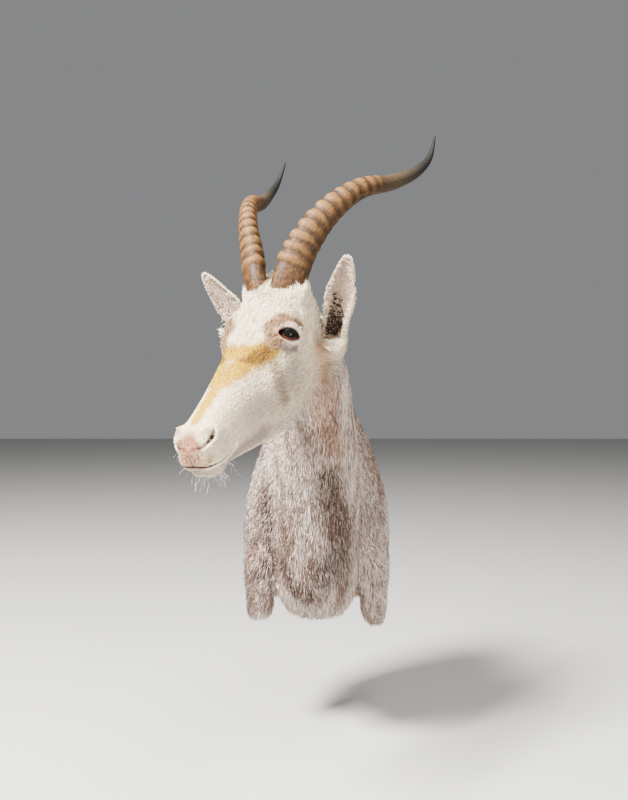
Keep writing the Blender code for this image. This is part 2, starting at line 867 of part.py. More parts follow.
def eye_ball(name, mirror, radius):
    mesh = bpy.data.meshes.new(name)
    bm = bmesh.new()
    bmesh.ops.create_uvsphere(bm, u_segments=18, v_segments=12, radius=radius * MM)
    bm.to_mesh(mesh)
    bm.free()
    centre = from_head(EYE_CENTRE * mirror)[0] * MM
    look = from_head(EYE_LOOK * mirror)[0] - HEAD_AT
    turn = Vector(look).to_track_quat("Z", "Y").to_matrix().to_4x4()
    mesh.transform(Matrix.Translation(Vector(centre)) @ turn)
    item = bpy.data.objects.new(name, mesh)
    bpy.context.scene.collection.objects.link(item)
    return item


def make_body():
    """Neck, shoulders and leg stumps, from the coarse mesh."""
    low = (-165, -420, -262)
    high = (165, 16, 360)
    item = flesh_mesh("body_whole", low, high, 4.5, BODY_TRIANGLES)
    ahead = HEAD_CUT_AT + HEAD_CUT_FACES * (400 - CUT_WIDTH / 2)
    cutter = box_cutter(ahead, HEAD_CUT_FACES, HEAD_LEFT, (1500, 1500, 800))
    cut(item, cutter)
    remove(cutter)
    behind = (0, 100 - BOARD_THICKNESS - BOARD_ROOM, 0)
    cutter = box_cutter(behind, (0, 1, 0), (1, 0, 0), (900, 1200, 200))
    cut(item, cutter)
    remove(cutter)
    cutter = box_cutter(NECK_CUT_AT, NECK_CUT_FACES, (1, 0, 0), (600, 700, CUT_WIDTH))
    cut(item, cutter)
    remove(cutter)
    for side in (1, -1):
        axis = np.array((0.484 * side, 0, -0.875))
        cutter = box_cutter((102 * side, -92, -187), axis, (1, 0, 0),
                            (94, 150, CUT_WIDTH))
        cut(item, cutter)
        remove(cutter)
    return item


def horn_frames():
    """Points, half widths and steady side directions along the left horn."""
    ringed = np.linspace(HORN_FIRST_RING, HORN_LAST_RING,
                         HORN_RINGS * HORN_ROWS_PER_RING + 1)
    share = np.concatenate((np.linspace(0, HORN_FIRST_RING, 4)[:-1], ringed,
                            np.linspace(HORN_LAST_RING, 1, 17)[1:]))
    gaps = np.linalg.norm(np.diff(HORN_KEYS[:, :3], axis=0), axis=1)
    places = np.concatenate(([0], np.cumsum(gaps)))
    keys = np.column_stack((places, HORN_KEYS))
    values = lookup(keys, share * places[-1])
    line = values[:3].T
    tangent = np.gradient(line, share, axis=0)
    tangent /= np.linalg.norm(tangent, axis=1, keepdims=True)
    fronts = HORN_FRONT - tangent * (tangent @ HORN_FRONT)[:, None]
    fronts /= np.linalg.norm(fronts, axis=1, keepdims=True)
    return share, line, values[3:5], tangent, fronts


def ring_height(share, turn):
    """Height of the rings, strongest on the front edge."""
    span = HORN_LAST_RING - HORN_FIRST_RING
    phase = (share - HORN_FIRST_RING) / span * HORN_RINGS
    inside = np.clip(phase * 2, 0, 1) * np.clip((HORN_RINGS - phase) * 1.2, 0, 1)
    wave = (0.5 + 0.5 * np.cos(2 * np.pi * (phase - 0.5))) ** 1.5
    front = 0.25 + 0.75 * (0.5 + 0.5 * np.cos(turn)) ** 1.2
    return HORN_RING_HEIGHT * wave * inside * front


def make_horn(side, head_skin):
    share, line, (long, short), tangent, fronts = horn_frames()
    rows = len(share)
    mirror = np.array((1, side, 1))
    points = []
    turns = np.linspace(0, 2 * np.pi, HORN_SIDES, endpoint=False)
    for row in range(rows):
        across = np.cross(tangent[row], fronts[row])
        fade = np.clip((long[row] - 10) / 12, 0, 1)
        for turn in turns:
            reach = 1 / np.hypot(np.cos(turn + HORN_LONG_TURN) / long[row],
                                 np.sin(turn + HORN_LONG_TURN) / short[row])
            reach = reach - 1.2 * fade + ring_height(share[row], turn + 0.3) * fade
            spoke = np.cos(turn) * fronts[row] + np.sin(turn) * across
            points.append(line[row] + reach * spoke)
    points.append(line[0])
    points.append(line[-1] + tangent[-1] * 2.5)
    faces = []
    for row in range(rows - 1):
        for i in range(HORN_SIDES):
            j = (i + 1) % HORN_SIDES
            a = row * HORN_SIDES
            faces.append([a + i, a + j, a + HORN_SIDES + j, a + HORN_SIDES + i])
    last = (rows - 1) * HORN_SIDES
    for i in range(HORN_SIDES):
        j = (i + 1) % HORN_SIDES
        faces.append([len(points) - 2, j, i])
        faces.append([len(points) - 1, last + i, last + j])
    item = new_object("horn", from_head(np.array(points) * mirror), faces)
    face_out(item)
    cut(item, head_skin)
    tip = from_head(HORN_KEYS[-1, :3] * mirror)[0]
    return nearest_part(loose_parts(item), tip, "horn_left" if side > 0 else "horn_right")


def swollen_copy(item, room):
    """A copy of an object with its skin moved outward."""
    mesh = item.data.copy()
    copy = bpy.data.objects.new("swollen", mesh)
    bpy.context.scene.collection.objects.link(copy)
    bm = bmesh.new()
    bm.from_mesh(mesh)
    bmesh.ops.triangulate(bm, faces=bm.faces)
    bmesh.ops.recalc_face_normals(bm, faces=bm.faces)
    bm.normal_update()
    moves = [vert.normal * vert.calc_shell_factor() * room * MM for vert in bm.verts]
    for vert, move in zip(bm.verts, moves):
        vert.co += move
    bm.to_mesh(mesh)
    bm.free()
    return as_cutter(copy)


def make_board():
    """Flat wooden board behind the shoulders, with the outline of their back."""
    heights = np.linspace(-196, 180, 29)
    half, _ = lookup(TORSO_KEYS, heights)
    half = np.maximum(half - 8, 6)
    right = np.column_stack((half, heights))
    left = np.column_stack((-half[::-1], heights[::-1]))
    outline = np.concatenate((right, left))
    count = len(outline)
    points = [(x, y, z) for y in (0.0, -BOARD_THICKNESS) for x, z in outline]
    faces = [list(range(count)), list(range(count, 2 * count))[::-1]]
    for i in range(count):
        j = (i + 1) % count
        faces.append([i, i + count, j + count, j])
    item = new_object("back_board", points, faces)
    face_out(item)
    return item


def main():
    clear_scene()
    coat = material("white_coat", (0.78, 0.72, 0.66), 0.85)
    ear_coat = material("ear_coat", (0.76, 0.68, 0.62), 0.85)
    glass = material("eye_glass", (0.035, 0.018, 0.010), 0.08)
    horn = material("ringed_horn", (0.30, 0.19, 0.11), 0.5)
    wood = material("board_wood", (0.45, 0.33, 0.21), 0.7)

    head = make_head()
    body_whole = make_body()
    skin = swollen_copy(head, HORN_ROOM)
    horns = [make_horn(1, skin), make_horn(-1, skin)]
    remove(skin)

    nose = from_head((225, 0, 0))[0]
    flesh_nodes = [nearest_part(loose_parts(head), nose, "head")]
    flesh_nodes += [make_ear(1), make_ear(-1)]
    parts = loose_parts(body_whole)
    flesh_nodes += [
        name_part(parts, "torso", lambda c: c[2] < 20 and abs(c[0]) < 40),
        name_part(parts, "neck", lambda c: c[2] > 20),
        name_part(parts, "foreleg_left", lambda c: c[0] > 60),
        name_part(parts, "foreleg_right", lambda c: c[0] < -60),
    ]
    drop_unnamed(parts)
    for item in flesh_nodes:
        finish_mesh(item, ear_coat if item.name.startswith("ear") else coat)
    for item in horns:
        finish_mesh(item, horn)
    finish_mesh(eye_ball("eye_left", np.array((1, 1, 1)), EYE_RADIUS), glass)
    finish_mesh(eye_ball("eye_right", np.array((1, -1, 1)), EYE_RADIUS), glass)
    finish_mesh(make_board(), wood)


if __name__ == "__main__":
    main()
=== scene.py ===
"""White blesbok shoulder mount: one skin with its coat, lashes and whiskers, glass eyes,
ringed horns and the wooden back board, set on a plain studio floor.

Lengths inside the form code are millimetres in the part's own frame. The viewer stands
at -Y, the animal's left is +X and up is +Z.
"""

import bmesh
import bpy
import numpy as np
from bpy.props import FloatProperty, FloatVectorProperty, IntProperty, PointerProperty
from bpy.types import Operator, Panel, PropertyGroup
from mathutils import Matrix, Vector


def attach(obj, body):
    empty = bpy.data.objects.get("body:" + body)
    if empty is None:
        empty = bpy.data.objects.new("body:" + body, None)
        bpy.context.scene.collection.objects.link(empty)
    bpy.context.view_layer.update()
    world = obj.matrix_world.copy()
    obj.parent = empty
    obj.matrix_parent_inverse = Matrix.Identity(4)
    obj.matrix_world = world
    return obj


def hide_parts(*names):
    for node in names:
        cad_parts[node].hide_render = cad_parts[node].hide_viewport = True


bl_info = {
    "name": "Blesbok shoulder mount",
    "version": (1, 0, 0),
    "blender": (4, 5, 0),
    "location": "3D View > Sidebar > Mount",
    "description": "Skin, coat, eyes, horns and board of a mounted white blesbok",
    "category": "Object",
}

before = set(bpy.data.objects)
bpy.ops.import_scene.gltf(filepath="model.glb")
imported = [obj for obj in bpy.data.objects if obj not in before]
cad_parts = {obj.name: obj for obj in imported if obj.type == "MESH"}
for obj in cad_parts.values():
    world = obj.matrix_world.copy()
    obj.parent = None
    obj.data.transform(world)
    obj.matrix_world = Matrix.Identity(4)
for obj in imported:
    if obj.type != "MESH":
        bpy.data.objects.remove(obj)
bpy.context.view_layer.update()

MM = 0.001
FLESH_NODES = ("head", "neck", "torso", "foreleg_left", "foreleg_right",
               "ear_left", "ear_right")
SEED = 11

# Depth of the coat over the skin: on the head, and how much more it is on the body
HEAD_COAT_DEPTH = 0.6
BODY_COAT_MORE = 2.6

# Blends between head and neck, at the root of an ear, and of its shell into that root
NECK_BLEND = 20
EAR_ROOT_BLEND = 18
EAR_BLEND = 12

# Grid that meshes the skin: for each axis its two ends, then the two ends of its fine part
GRID_ENDS = ((-200, 165, -196, 66), (-612, 16, -608, -262), (-262, 372, 30, 366))
FINE_CELL = 1.75
COARSE_CELL = 4.6
# The field is first looked at in every fourth place of the grid
FIRST_LOOK_RATIO = 4
# Share of the faces that the skin keeps
SKIN_KEPT_SHARE = 0.56

# Lengths of the hair, and how much longer or shorter it is in some places
NOSE_HAIR = 2.8
CHEEK_HAIR_MORE = 7.0
POLL_HAIR_MORE = 3.5
LEFT_HORN_HAIR_MORE = 7.0
RIGHT_HORN_HAIR_MORE = 11.0
EYE_HAIR_LESS = 2.2
NECK_HAIR = 15
LOW_BODY_HAIR_MORE = 9
LOW_EDGE_HAIR_LESS = 7
EAR_HAIR = 4.0
INNER_EAR_HAIR_MORE = 6.0

# Tufts: width and lift on the face, depth of the root, and scatter of twist and sway
TUFT_WIDTH = 0.95
TUFT_LIFT = 0.16
TUFT_ROOT_DEPTH = 0.7
TUFT_TWIST = 0.35
TUFT_SWAY = 0.10
# Half width and half height of a tuft at its root and at its middle, by its width
TUFT_ROOT_SIZE = (0.42, 0.12)
TUFT_MIDDLE_SIZE = (0.5, 0.16)

# Coat: pieces of each sheet, share of dark tufts, share and strength of pale ones in the ear
BODY_PIECES = 5
HEAD_PIECES = 3
DARK_TUFT_SHARE = 0.36
EAR_PALE_SHARE = 0.22
EAR_PALE_CUP = 0.25
# Room between the coat and the wall
WALL_ROOM = 0.2

# Lashes: places round the lids, and lengths above and below
LASH_PLACES = 120
UPPER_LASH = 7.5
LOWER_LASH = 4.0

# Half length and half height of the pupil, as shares of the eye's radius
PUPIL_HALF = (0.44, 0.27)

# Camera, in metres, and its lens in millimetres
CAMERA_AT = (-0.0047, -1.645, 0.161)
LENS = 38.25
SENSOR_WIDTH = 36

# Light from all round
SKY_COLOUR = (0.92, 0.93, 0.95, 1)
SKY_STRENGTH = 0.27

# Unwrap of the coat: empty margin, and the size of a tuft's patch
UNWRAP_MARGIN = 0.004
TUFT_PATCH = 0.003

BOARD_ROOM = 0.3
HEAD_CUT_AT = np.array((-10.0, -322.0, 206.0))

# Head: place of the point midway between the eyes, then the three directions of the head
HEAD_AT = np.array((-87.2, -444.0, 250.2))
HEAD_NOSE = np.array((-0.3465, -0.6614, -0.6652))
HEAD_LEFT = np.array((0.8757, -0.4823, 0.0234))
HEAD_TOP = np.array((-0.3362, -0.5744, 0.7463))

# Eyes, in head directions (nose, left, top)
EYE_CENTRE = np.array((-8.0, 42.5, -8.0))
EYE_RADIUS = 18.5
EYE_LOOK = np.array((0.467, 0.748, 0.467))
EYE_LONG = np.array((-0.459, 0.694, -0.652))
EYE_HALF_LENGTH = 17.0
EYE_UPPER = 10.0
EYE_LOWER = 9.0
LID_THICKNESS = 2.4

# Ears, in head directions, with their leaf along the length
EAR_ROOT = np.array((-85.0, 56.0, -96.0))
EAR_TIP = np.array((-117.2, 123.4, 43.0))
EAR_FACES = np.array((0.78, 0.22, 0.58))
EAR_SHELL = 3.4
EAR_SHIFT = {1: np.array((1.4, -3.5, 1.3)), -1: np.array((3.6, -6.6, 1.2))}

# Parting of the lips seen from the side: nose direction and level
MOUTH_CORNER = 166.0
MOUTH_LINE = np.array((
    (150.0, -55.0),
    (166.0, -52.0),
    (185.0, -48.0),
    (205.0, -41.0),
    (220.0, -34.0),
    (236.0, -28.0),
))

# Line of each nostril from its high back end to the front, and its half widths
NOSTRIL_LINE = np.array((
    (187.0, 27.0, 0.0),
    (194.0, 27.0, -3.0),
    (203.0, 27.0, -4.0),
    (211.0, 24.0, -5.0),
    (217.0, 19.0, -6.0),
    (220.0, 13.0, -7.0),
))
NOSTRIL_HALF = (1.5, 2.4, 2.9, 2.0, 1.5, 1.2)

# Back board
BOARD_THICKNESS = 18.0

# Head lengthwise: nose direction, half width, level of the widest line, top, bottom
HEAD_KEYS = np.array((
    (-135.0, 26.0, -36.0, 4.0, -80.0),
    (-118.0, 40.0, -38.0, 17.0, -100.0),
    (-100.0, 48.0, -36.0, 26.0, -115.0),
    (-75.0, 52.0, -32.0, 33.5, -124.0),
    (-40.0, 53.0, -28.0, 32.5, -132.0),
    (-5.0, 50.0, -27.0, 25.0, -137.0),
    (30.0, 44.5, -36.0, 19.5, -138.0),
    (60.0, 39.5, -43.0, 16.0, -134.0),
    (90.0, 35.5, -43.0, 14.0, -122.0),
    (120.0, 32.0, -39.0, 12.5, -105.0),
    (150.0, 29.0, -34.0, 11.5, -88.0),
    (180.0, 28.0, -28.0, 11.0, -73.0),
    (205.0, 28.0, -25.0, 9.0, -64.0),
    (222.0, 26.0, -24.0, 6.0, -60.0),
    (240.0, 24.0, -24.0, 2.0, -56.0),
))

# Neck by height: centre across, half width, front and back (forward of the wall)
NECK_KEYS = np.array((
    (-217.0, 0.0, 10.0, 176.0, 50.0),
    (-211.0, 0.0, 36.0, 188.0, 20.0),
    (-202.0, 0.0, 54.0, 200.0, 0.0),
    (-187.0, 0.0, 65.0, 213.0, -24.0),
    (-151.0, 0.0, 71.0, 232.0, -24.0),
    (-99.0, 1.0, 73.0, 249.0, -24.0),
    (-47.0, 2.0, 73.0, 263.0, -24.0),
    (5.0, 2.0, 72.0, 278.0, -24.0),
    (57.0, 2.0, 70.0, 296.0, -24.0),
    (99.0, 1.0, 68.0, 314.0, -24.0),
    (140.0, -4.0, 66.0, 335.0, -20.0),
    (182.0, -9.0, 66.0, 358.0, 0.0),
    (210.0, -14.0, 64.0, 370.0, 78.0),
    (240.0, -21.0, 58.0, 372.0, 148.0),
    (270.0, -31.0, 52.0, 366.0, 196.0),
    (301.0, -42.0, 43.0, 345.0, 238.0),
    (324.0, -48.0, 32.0, 332.0, 268.0),
    (338.0, -50.0, 10.0, 318.0, 295.0),
))

# Shoulders by height: half width and depth forward of the wall
TORSO_KEYS = np.array((
    (-204.0, 12.0, 46.0),
    (-201.0, 44.0, 74.0),
    (-196.0, 84.0, 98.0),
    (-189.0, 108.0, 116.0),
    (-176.0, 123.0, 134.0),
    (-151.0, 131.0, 153.0),
    (-99.0, 134.0, 165.0),
    (-47.0, 132.0, 161.0),
    (5.0, 122.0, 150.0),
    (57.0, 107.0, 130.0),
    (109.0, 85.0, 104.0),
    (150.0, 64.0, 80.0),
    (176.0, 48.0, 64.0),
    (192.0, 30.0, 52.0),
))
TORSO_WIDEST_LINE = 42.0

# Leg stumps: centre across and forward, half sizes, lower end right and left
LEG_CENTRE = np.array((101.0, -92.0))
LEG_HALF = np.array((25.0, 44.0))
LEG_ENDS = (-230.0, -241.0)

# Horns, in head directions: nose, left, top, then the long and short half width
HORN_KEYS = np.array((
    (-72.0, 20.0, 8.0, 27.5, 18.5),
    (-98.0, 31.0, 35.0, 27.0, 18.0),
    (-127.0, 41.0, 53.0, 25.5, 17.0),
    (-179.0, 64.0, 73.0, 21.5, 14.5),
    (-254.0, 96.0, 74.0, 16.0, 12.8),
    (-333.0, 124.0, 41.0, 12.2, 11.0),
    (-387.0, 140.0, 26.0, 9.0, 8.4),
    (-436.0, 147.0, 22.0, 5.6, 5.6),
    (-490.0, 147.0, 35.0, 1.5, 1.5),
))
HORN_FRONT = np.array((0.62, 0.0, 0.78))
HORN_LONG_TURN = np.radians(40.0)
HORN_RINGS = 12
HORN_FIRST_RING = 0.10
HORN_LAST_RING = 0.575
HORN_RING_HEIGHT = 3.4

# Colours of the smaller pieces
EYE_SHADED = (0.006, 0.004, 0.003, 1)
PUPIL_BLACK = (0.003, 0.003, 0.003, 1)
EYE_BORDER = (0.05, 0.03, 0.025, 1)
WHISKER_PALE = (0.85, 0.80, 0.72, 1)
WHISKER_TAN = (0.62, 0.55, 0.46, 1)
WOOD_LIGHT = (0.42, 0.28, 0.16, 1)
WOOD_BROWN = (0.30, 0.18, 0.095, 1)
WOOD_PORE = (0.14, 0.08, 0.04, 1)


# Small tools for curves and fields


def lookup(keys, at):
    """Smooth values between key rows; the first column is the place."""
    places = keys[:, 0]
    slopes = np.gradient(keys[:, 1:], places, axis=0)
    at = np.clip(at, places[0], places[-1])
    row = np.clip(np.searchsorted(places, at, side="right") - 1, 0, len(places) - 2)
    span = places[row + 1] - places[row]
    t = ((at - places[row]) / span)[:, None]
    span = span[:, None]
    a = keys[row, 1:]
    b = keys[row + 1, 1:]
    smooth = t * t * (3 - 2 * t)
    bend_a = t * (1 - t) ** 2 * span * slopes[row]
    bend_b = -t * t * (1 - t) * span * slopes[row + 1]
    return (a + (b - a) * smooth + bend_a + bend_b).T


def join(a, b, blend):
    """Smooth union of two fields."""
    h = np.clip(0.5 + 0.5 * (b - a) / blend, 0, 1)
    return b + (a - b) * h - blend * h * (1 - h)


def carve(a, b, blend):
    """Field a with field b taken out."""
    return -join(-a, b, blend)


def keep(a, b, blend):
    """Smooth overlap of two fields."""
    return -join(-a, -b, blend)


def oval(x, y, half_x, half_y, power):
    """Distance from an oval section, measured along the ray from its centre."""
    reach = np.hypot(x, y) + 1e-9
    size = (np.abs(x / half_x) ** power + np.abs(y / half_y) ** power) ** (1 / power)
    return reach - reach / np.maximum(size, 1e-9)


def ball(q, centre, radii):
    """Rough distance from an ellipsoid."""
    radii = np.asarray(radii, float)
    d = q - np.asarray(centre, float)
    size = np.sqrt(((d / radii) ** 2).sum(1)) + 1e-9
    slope = np.sqrt(((d / radii**2) ** 2).sum(1)) + 1e-9
    return size * (size - 1) / slope


def rod(q, a, b, radius_a, radius_b):
    """Distance from a straight rod with a thickness at each end."""
    a = np.asarray(a, float)
    b = np.asarray(b, float)
    line = b - a
    t = np.clip((q - a) @ line / (line @ line), 0, 1)
    gap = q - a - t[:, None] * line
    return np.sqrt((gap**2).sum(1)) - (radius_a + (radius_b - radius_a) * t)


def unit(v):
    """A direction made one long."""
    return np.asarray(v, float) / np.linalg.norm(v)


def to_head(points):
    """Row millimetres to head directions."""
    d = points - HEAD_AT
    return np.stack((d @ HEAD_NOSE, d @ HEAD_LEFT, d @ HEAD_TOP), 1)


def from_head(q):
    """Head directions to row millimetres."""
    q = np.atleast_2d(q)
    return HEAD_AT + q[:, :1] * HEAD_NOSE + q[:, 1:2] * HEAD_LEFT + q[:, 2:] * HEAD_TOP


HEAD_CUT_FACES = unit((-0.40, -0.68, 0.61))


# The flesh


def muzzle_end(q):
    """Distance past the blunt front of the muzzle."""
    rise = q[:, 2] + 24
    drop = np.where(rise > 0, rise**2 / 48, rise**2 / 66)
    slope = np.abs(rise) / 28
    return (q[:, 0] - (228 - drop - q[:, 1] ** 2 / 60)) / np.sqrt(1 + slope**2)


def skull(q):
    """The long head without its holes; q has its left side folded over the right."""
    half, level, top, bottom = lookup(HEAD_KEYS, q[:, 0])
    rise = q[:, 2] - level
    over = oval(q[:, 1], rise, half, top - level, 2.35)
    under = oval(q[:, 1], rise, half, level - bottom, 2.0)
    d = np.where(rise > 0, over, under)
    d = keep(d, muzzle_end(q), 12)
    d = keep(d, -130 - q[:, 0], 25)
    # jaw muscle and the soft cheek ridge below the eye
    d = join(d, ball(q, (16, 22, -86), (60, 19, 42)), 28)
    d = join(d, rod(q, (14, 36, -24), (66, 27, -42), 7, 5), 34)
    # rim of the eye socket and the brow
    d = join(d, ball(q, EYE_CENTRE + (-2, -8, 0), (31, 20, 26)), 16)
    d = join(d, rod(q, (10, 36, 4), (-32, 40, 7), 9, 9), 16)
    # seat of each horn
    d = join(d, ball(q, (-88, 27, 11), (25, 22, 17)), 16)
    # nostril wings, upper lip, lower lip and chin
    d = join(d, ball(q, (198, 18, -8), (20, 12, 12)), 9)
    d = join(d, rod(q, (194, 23, 3), (212, 17, 0), 4.5, 5.0), 6)
    d = join(d, ball(q, (203, 13, -31), (25, 17, 14)), 9)
    d = join(d, ball(q, (196, 8, -50), (27, 16, 14)), 9)
    return d


def nostril(q):
    """A comma from its high back end forward and down, deep behind its middle."""
    d = rod(q, (200, 25, -5), (188, 18, -12), 2.8, 4.0)
    for a, b, low, high in zip(NOSTRIL_AT, NOSTRIL_AT[1:], NOSTRIL_HALF, NOSTRIL_HALF[1:]):
        d = np.minimum(d, rod(q, a, b, low, high))
    return d


def head_details(q, d):
    """Lids, nostrils, parting of the mouth and the groove under the nose."""
    d = join(d, ball(q, EYE_CENTRE, [EYE_RADIUS + LID_THICKNESS] * 3), 5)
    # corner of the eye towards the nose, and a fold under and over the lids
    long = unit(EYE_LONG)
    up = np.cross(EYE_LOOK, long)
    up = up * np.sign(up[2])
    for ends in (((-14.5, 0, 16.0), (-22, -1.5, 13.5), 2.4, 1.2),
                 ((-12, -12.5, 19.2), (0, -15.2, 19.4), 1.1, 1.3),
                 ((0, -15.2, 19.4), (13, -12.5, 18.6), 1.3, 1.1),
                 ((-12, 12.8, 19.0), (0, 15.6, 19.6), 1.0, 1.3),
                 ((0, 15.6, 19.6), (14, 11.5, 19.0), 1.3, 1.0)):
        a, b = [EYE_CENTRE + e[0] * long + e[1] * up + e[2] * EYE_LOOK for e in ends[:2]]
        d = carve(d, rod(q, a, b, ends[2], ends[3]), 3.5)
    d = carve(d, nostril(q), 1.6)
    # parting of the lips: a groove that narrows inward
    level = lookup(MOUTH_LINE, q[:, 0])[0]
    depth = np.clip(d, -6, 2)
    parting = np.abs(q[:, 2] - level) - 2.1 - 0.45 * depth
    parting = np.maximum(parting, (MOUTH_CORNER - q[:, 0]) * 0.6)
    d = carve(d, parting, 2.0)
    # groove from between the nostrils to the mouth
    return carve(d, rod(q, (226, 0, -9), (231, 0, -28), 1.4, 1.8), 3)


def ear_frame():
    """Directions along the left ear, out of its open face and sideways, and its length."""
    along = EAR_TIP - EAR_ROOT
    length = np.linalg.norm(along)
    along = along / length
    face = EAR_FACES - along * (EAR_FACES @ along)
    face = unit(face)
    return along, face, np.cross(along, face), length


EAR_LEAF = np.array((
    (-14.0, 15.0, 14.0),
    (0.0, 21.5, 20.0),
    (14.0, 23.0, 21.0),
    (30.0, 21.5, 19.0),
    (54.0, 20.5, 16.0),
    (85.0, 23.5, 13.0),
    (100.0, 23.5, 11.0),
    (115.0, 19.5, 9.0),
    (130.0, 16.0, 8.0),
    (150.0, 9.5, 5.2),
    (160.0, 5.0, 3.5),
))


def beside_ear(q):
    """Head directions moved with each ear and folded over onto the left one."""
    beside = q - np.where(q[:, 1:2] > 0, EAR_SHIFT[1], EAR_SHIFT[-1])
    beside[:, 1] = np.abs(beside[:, 1])
    return beside


def ear(q):
    """The left ear: a leaf-shaped cup on a round root."""
    along, face, side, length = ear_frame()
    d = q - EAR_ROOT
    t = d @ along
    x = d @ side
    y = d @ face
    half, deep = lookup(EAR_LEAF, t)
    outer = oval(x, y, half, deep, 2.0)
    outer = keep(outer, t - length, 3)
    outer = keep(outer, -12 - t, 12)
    shell = EAR_SHELL + np.clip((t - 120) / 40, 0, 1)
    hollow = keep(outer + shell, 21 - t, 8)
    open_front = keep(deep * 0.2 - y, 27 - t - deep * 0.5, 8)
    solid = carve(outer, open_front, 2.5)
    solid = carve(solid, hollow, 1.5)
    return solid, hollow


def neck(points):
    """The neck, from the breast up to the back of the head."""
    centre, half, front, back = lookup(NECK_KEYS, points[:, 2])
    middle = -(front + back) / 2
    d = oval(points[:, 0] - centre, points[:, 1] - middle, half, (front - back) / 2, 2.2)
    d = keep(d, -214 - points[:, 2], 16)
    return keep(d, points[:, 2] - 338, 16)


def torso(points):
    """Shoulders, cut flat at the board."""
    half, deep = lookup(TORSO_KEYS, points[:, 2])
    y = points[:, 1] + TORSO_WIDEST_LINE
    reach = np.maximum(deep - TORSO_WIDEST_LINE, 6.0)
    front = oval(points[:, 0], y, half, reach, 2.1)
    back = np.abs(points[:, 0]) - half + np.maximum(y, 0) * 0.12
    d = np.where(y < 0, front, back)
    d = keep(d, -201 - points[:, 2], 14)
    return keep(d, points[:, 2] - 190, 24)


def leg(points):
    """Both leg stumps."""
    x = np.abs(points[:, 0]) - LEG_CENTRE[0] + (points[:, 2] + 200) * 0.10
    y = points[:, 1] - LEG_CENTRE[1]
    thin = 1 + np.clip((points[:, 2] + 200) / 160, -0.2, 0.5)
    d = oval(x, y, LEG_HALF[0] * thin, LEG_HALF[1] * thin, 2.2)
    end = np.where(points[:, 0] > 0, LEG_ENDS[1], LEG_ENDS[0])
    d = keep(d, end - points[:, 2], 14)
    return keep(d, points[:, 2] + 90, 70)


def body(points):
    """Shoulders, neck and leg stumps."""
    d = join(torso(points), neck(points), 26)
    d = join(d, leg(points), 16)
    return d


def flesh(points):
    """The whole soft form: head, ears, neck, shoulders and leg stumps."""
    q = to_head(points)
    solid, hollow = ear(beside_ear(q))
    q[:, 1] = np.abs(q[:, 1])
    d = join(skull(q), body(points), NECK_BLEND)
    d = join(d, ball(q, (-85, 44, -88), (26, 22, 26)), EAR_ROOT_BLEND)
    d = join(d, solid, EAR_BLEND)
    d = head_details(q, d)
    d = carve(d, hollow, 2)
    return d


# Meshing a field


def grid_places(low, high, fine_low, fine_high, fine, coarse):
    """Places along one axis, close together where the head is."""
    before = np.arange(low, fine_low, coarse)
    middle = np.arange(fine_low, fine_high, fine)
    after = np.arange(fine_high, high + coarse * (FIRST_LOOK_RATIO + 1), coarse)
    places = np.concatenate((before, middle, after))
    return places[:(len(places) - 1) // FIRST_LOOK_RATIO * FIRST_LOOK_RATIO + 1]


def surface_net(field, axes):
    """Points and four-sided faces of the zero level of a field on an uneven grid."""
    ratio = FIRST_LOOK_RATIO
    coarse_axes = [places[::ratio] for places in axes]
    cells = np.array([len(places) - 1 for places in coarse_axes])
    grid = np.stack(np.meshgrid(*coarse_axes, indexing="ij"), -1).reshape(-1, 3)
    coarse = in_parts(field, grid).reshape(cells + 1)
    widths = np.meshgrid(*[np.diff(places) for places in coarse_axes], indexing="ij")
    reach = 1.3 * np.max(widths, axis=0)
    near = np.zeros(cells, bool)
    low_sign = np.ones(cells, bool)
    high_sign = np.ones(cells, bool)
    for i in (0, 1):
        for j in (0, 1):
            for k in (0, 1):
                end = (i + cells[0], j + cells[1], k + cells[2])
                corner = coarse[i:end[0], j:end[1], k:end[2]]
                near |= np.abs(corner) < reach
                low_sign &= corner < 0
                high_sign &= corner >= 0
    near |= ~(low_sign | high_sign)
    index = [np.arange(c * ratio + 1) for c in cells]
    nearest = [np.clip((i + ratio // 2) // ratio, 0, c) for i, c in zip(index, cells)]
    holder = [np.minimum(i // ratio, c - 1) for i, c in zip(index, cells)]
    fine = coarse[np.ix_(*nearest)].astype(np.float64)
    close = near[np.ix_(*holder)]
    found = np.argwhere(close)
    places = np.stack([axes[i][found[:, i]] for i in range(3)], 1)
    fine[close] = in_parts(field, places)
    return net_from_grid(fine, axes)


def in_parts(field, points, part=400000):
    """Values of a field, taken in parts to spare memory."""
    pieces = [field(points[i:i + part]) for i in range(0, len(points), part)]
    return np.concatenate(pieces)


def untangle(values, step):
    """Fills corner-to-corner contacts, where the net would touch itself."""
    for _ in range(8):
        found = 0
        for axis in range(3):
            views = []
            for i, j in ((0, 0), (1, 0), (1, 1), (0, 1)):
                pick = [slice(None)] * 3
                one, two = [k for k in range(3) if k != axis]
                pick[one] = slice(i, values.shape[one] - 1 + i)
                pick[two] = slice(j, values.shape[two] - 1 + j)
                views.append(values[tuple(pick)])
            a, b, c, d = [view < 0 for view in views]
            first = a & c & ~b & ~d
            second = b & d & ~a & ~c
            found += first.sum() + second.sum()
            for clash, out_one, out_two in ((first, 1, 3), (second, 0, 2)):
                nearer = views[out_one] < views[out_two]
                views[out_one][clash & nearer] = -0.02 * step
                views[out_two][clash & ~nearer] = -0.02 * step
        found += fill_diagonals(values, step)
        if not found:
            break
    return values


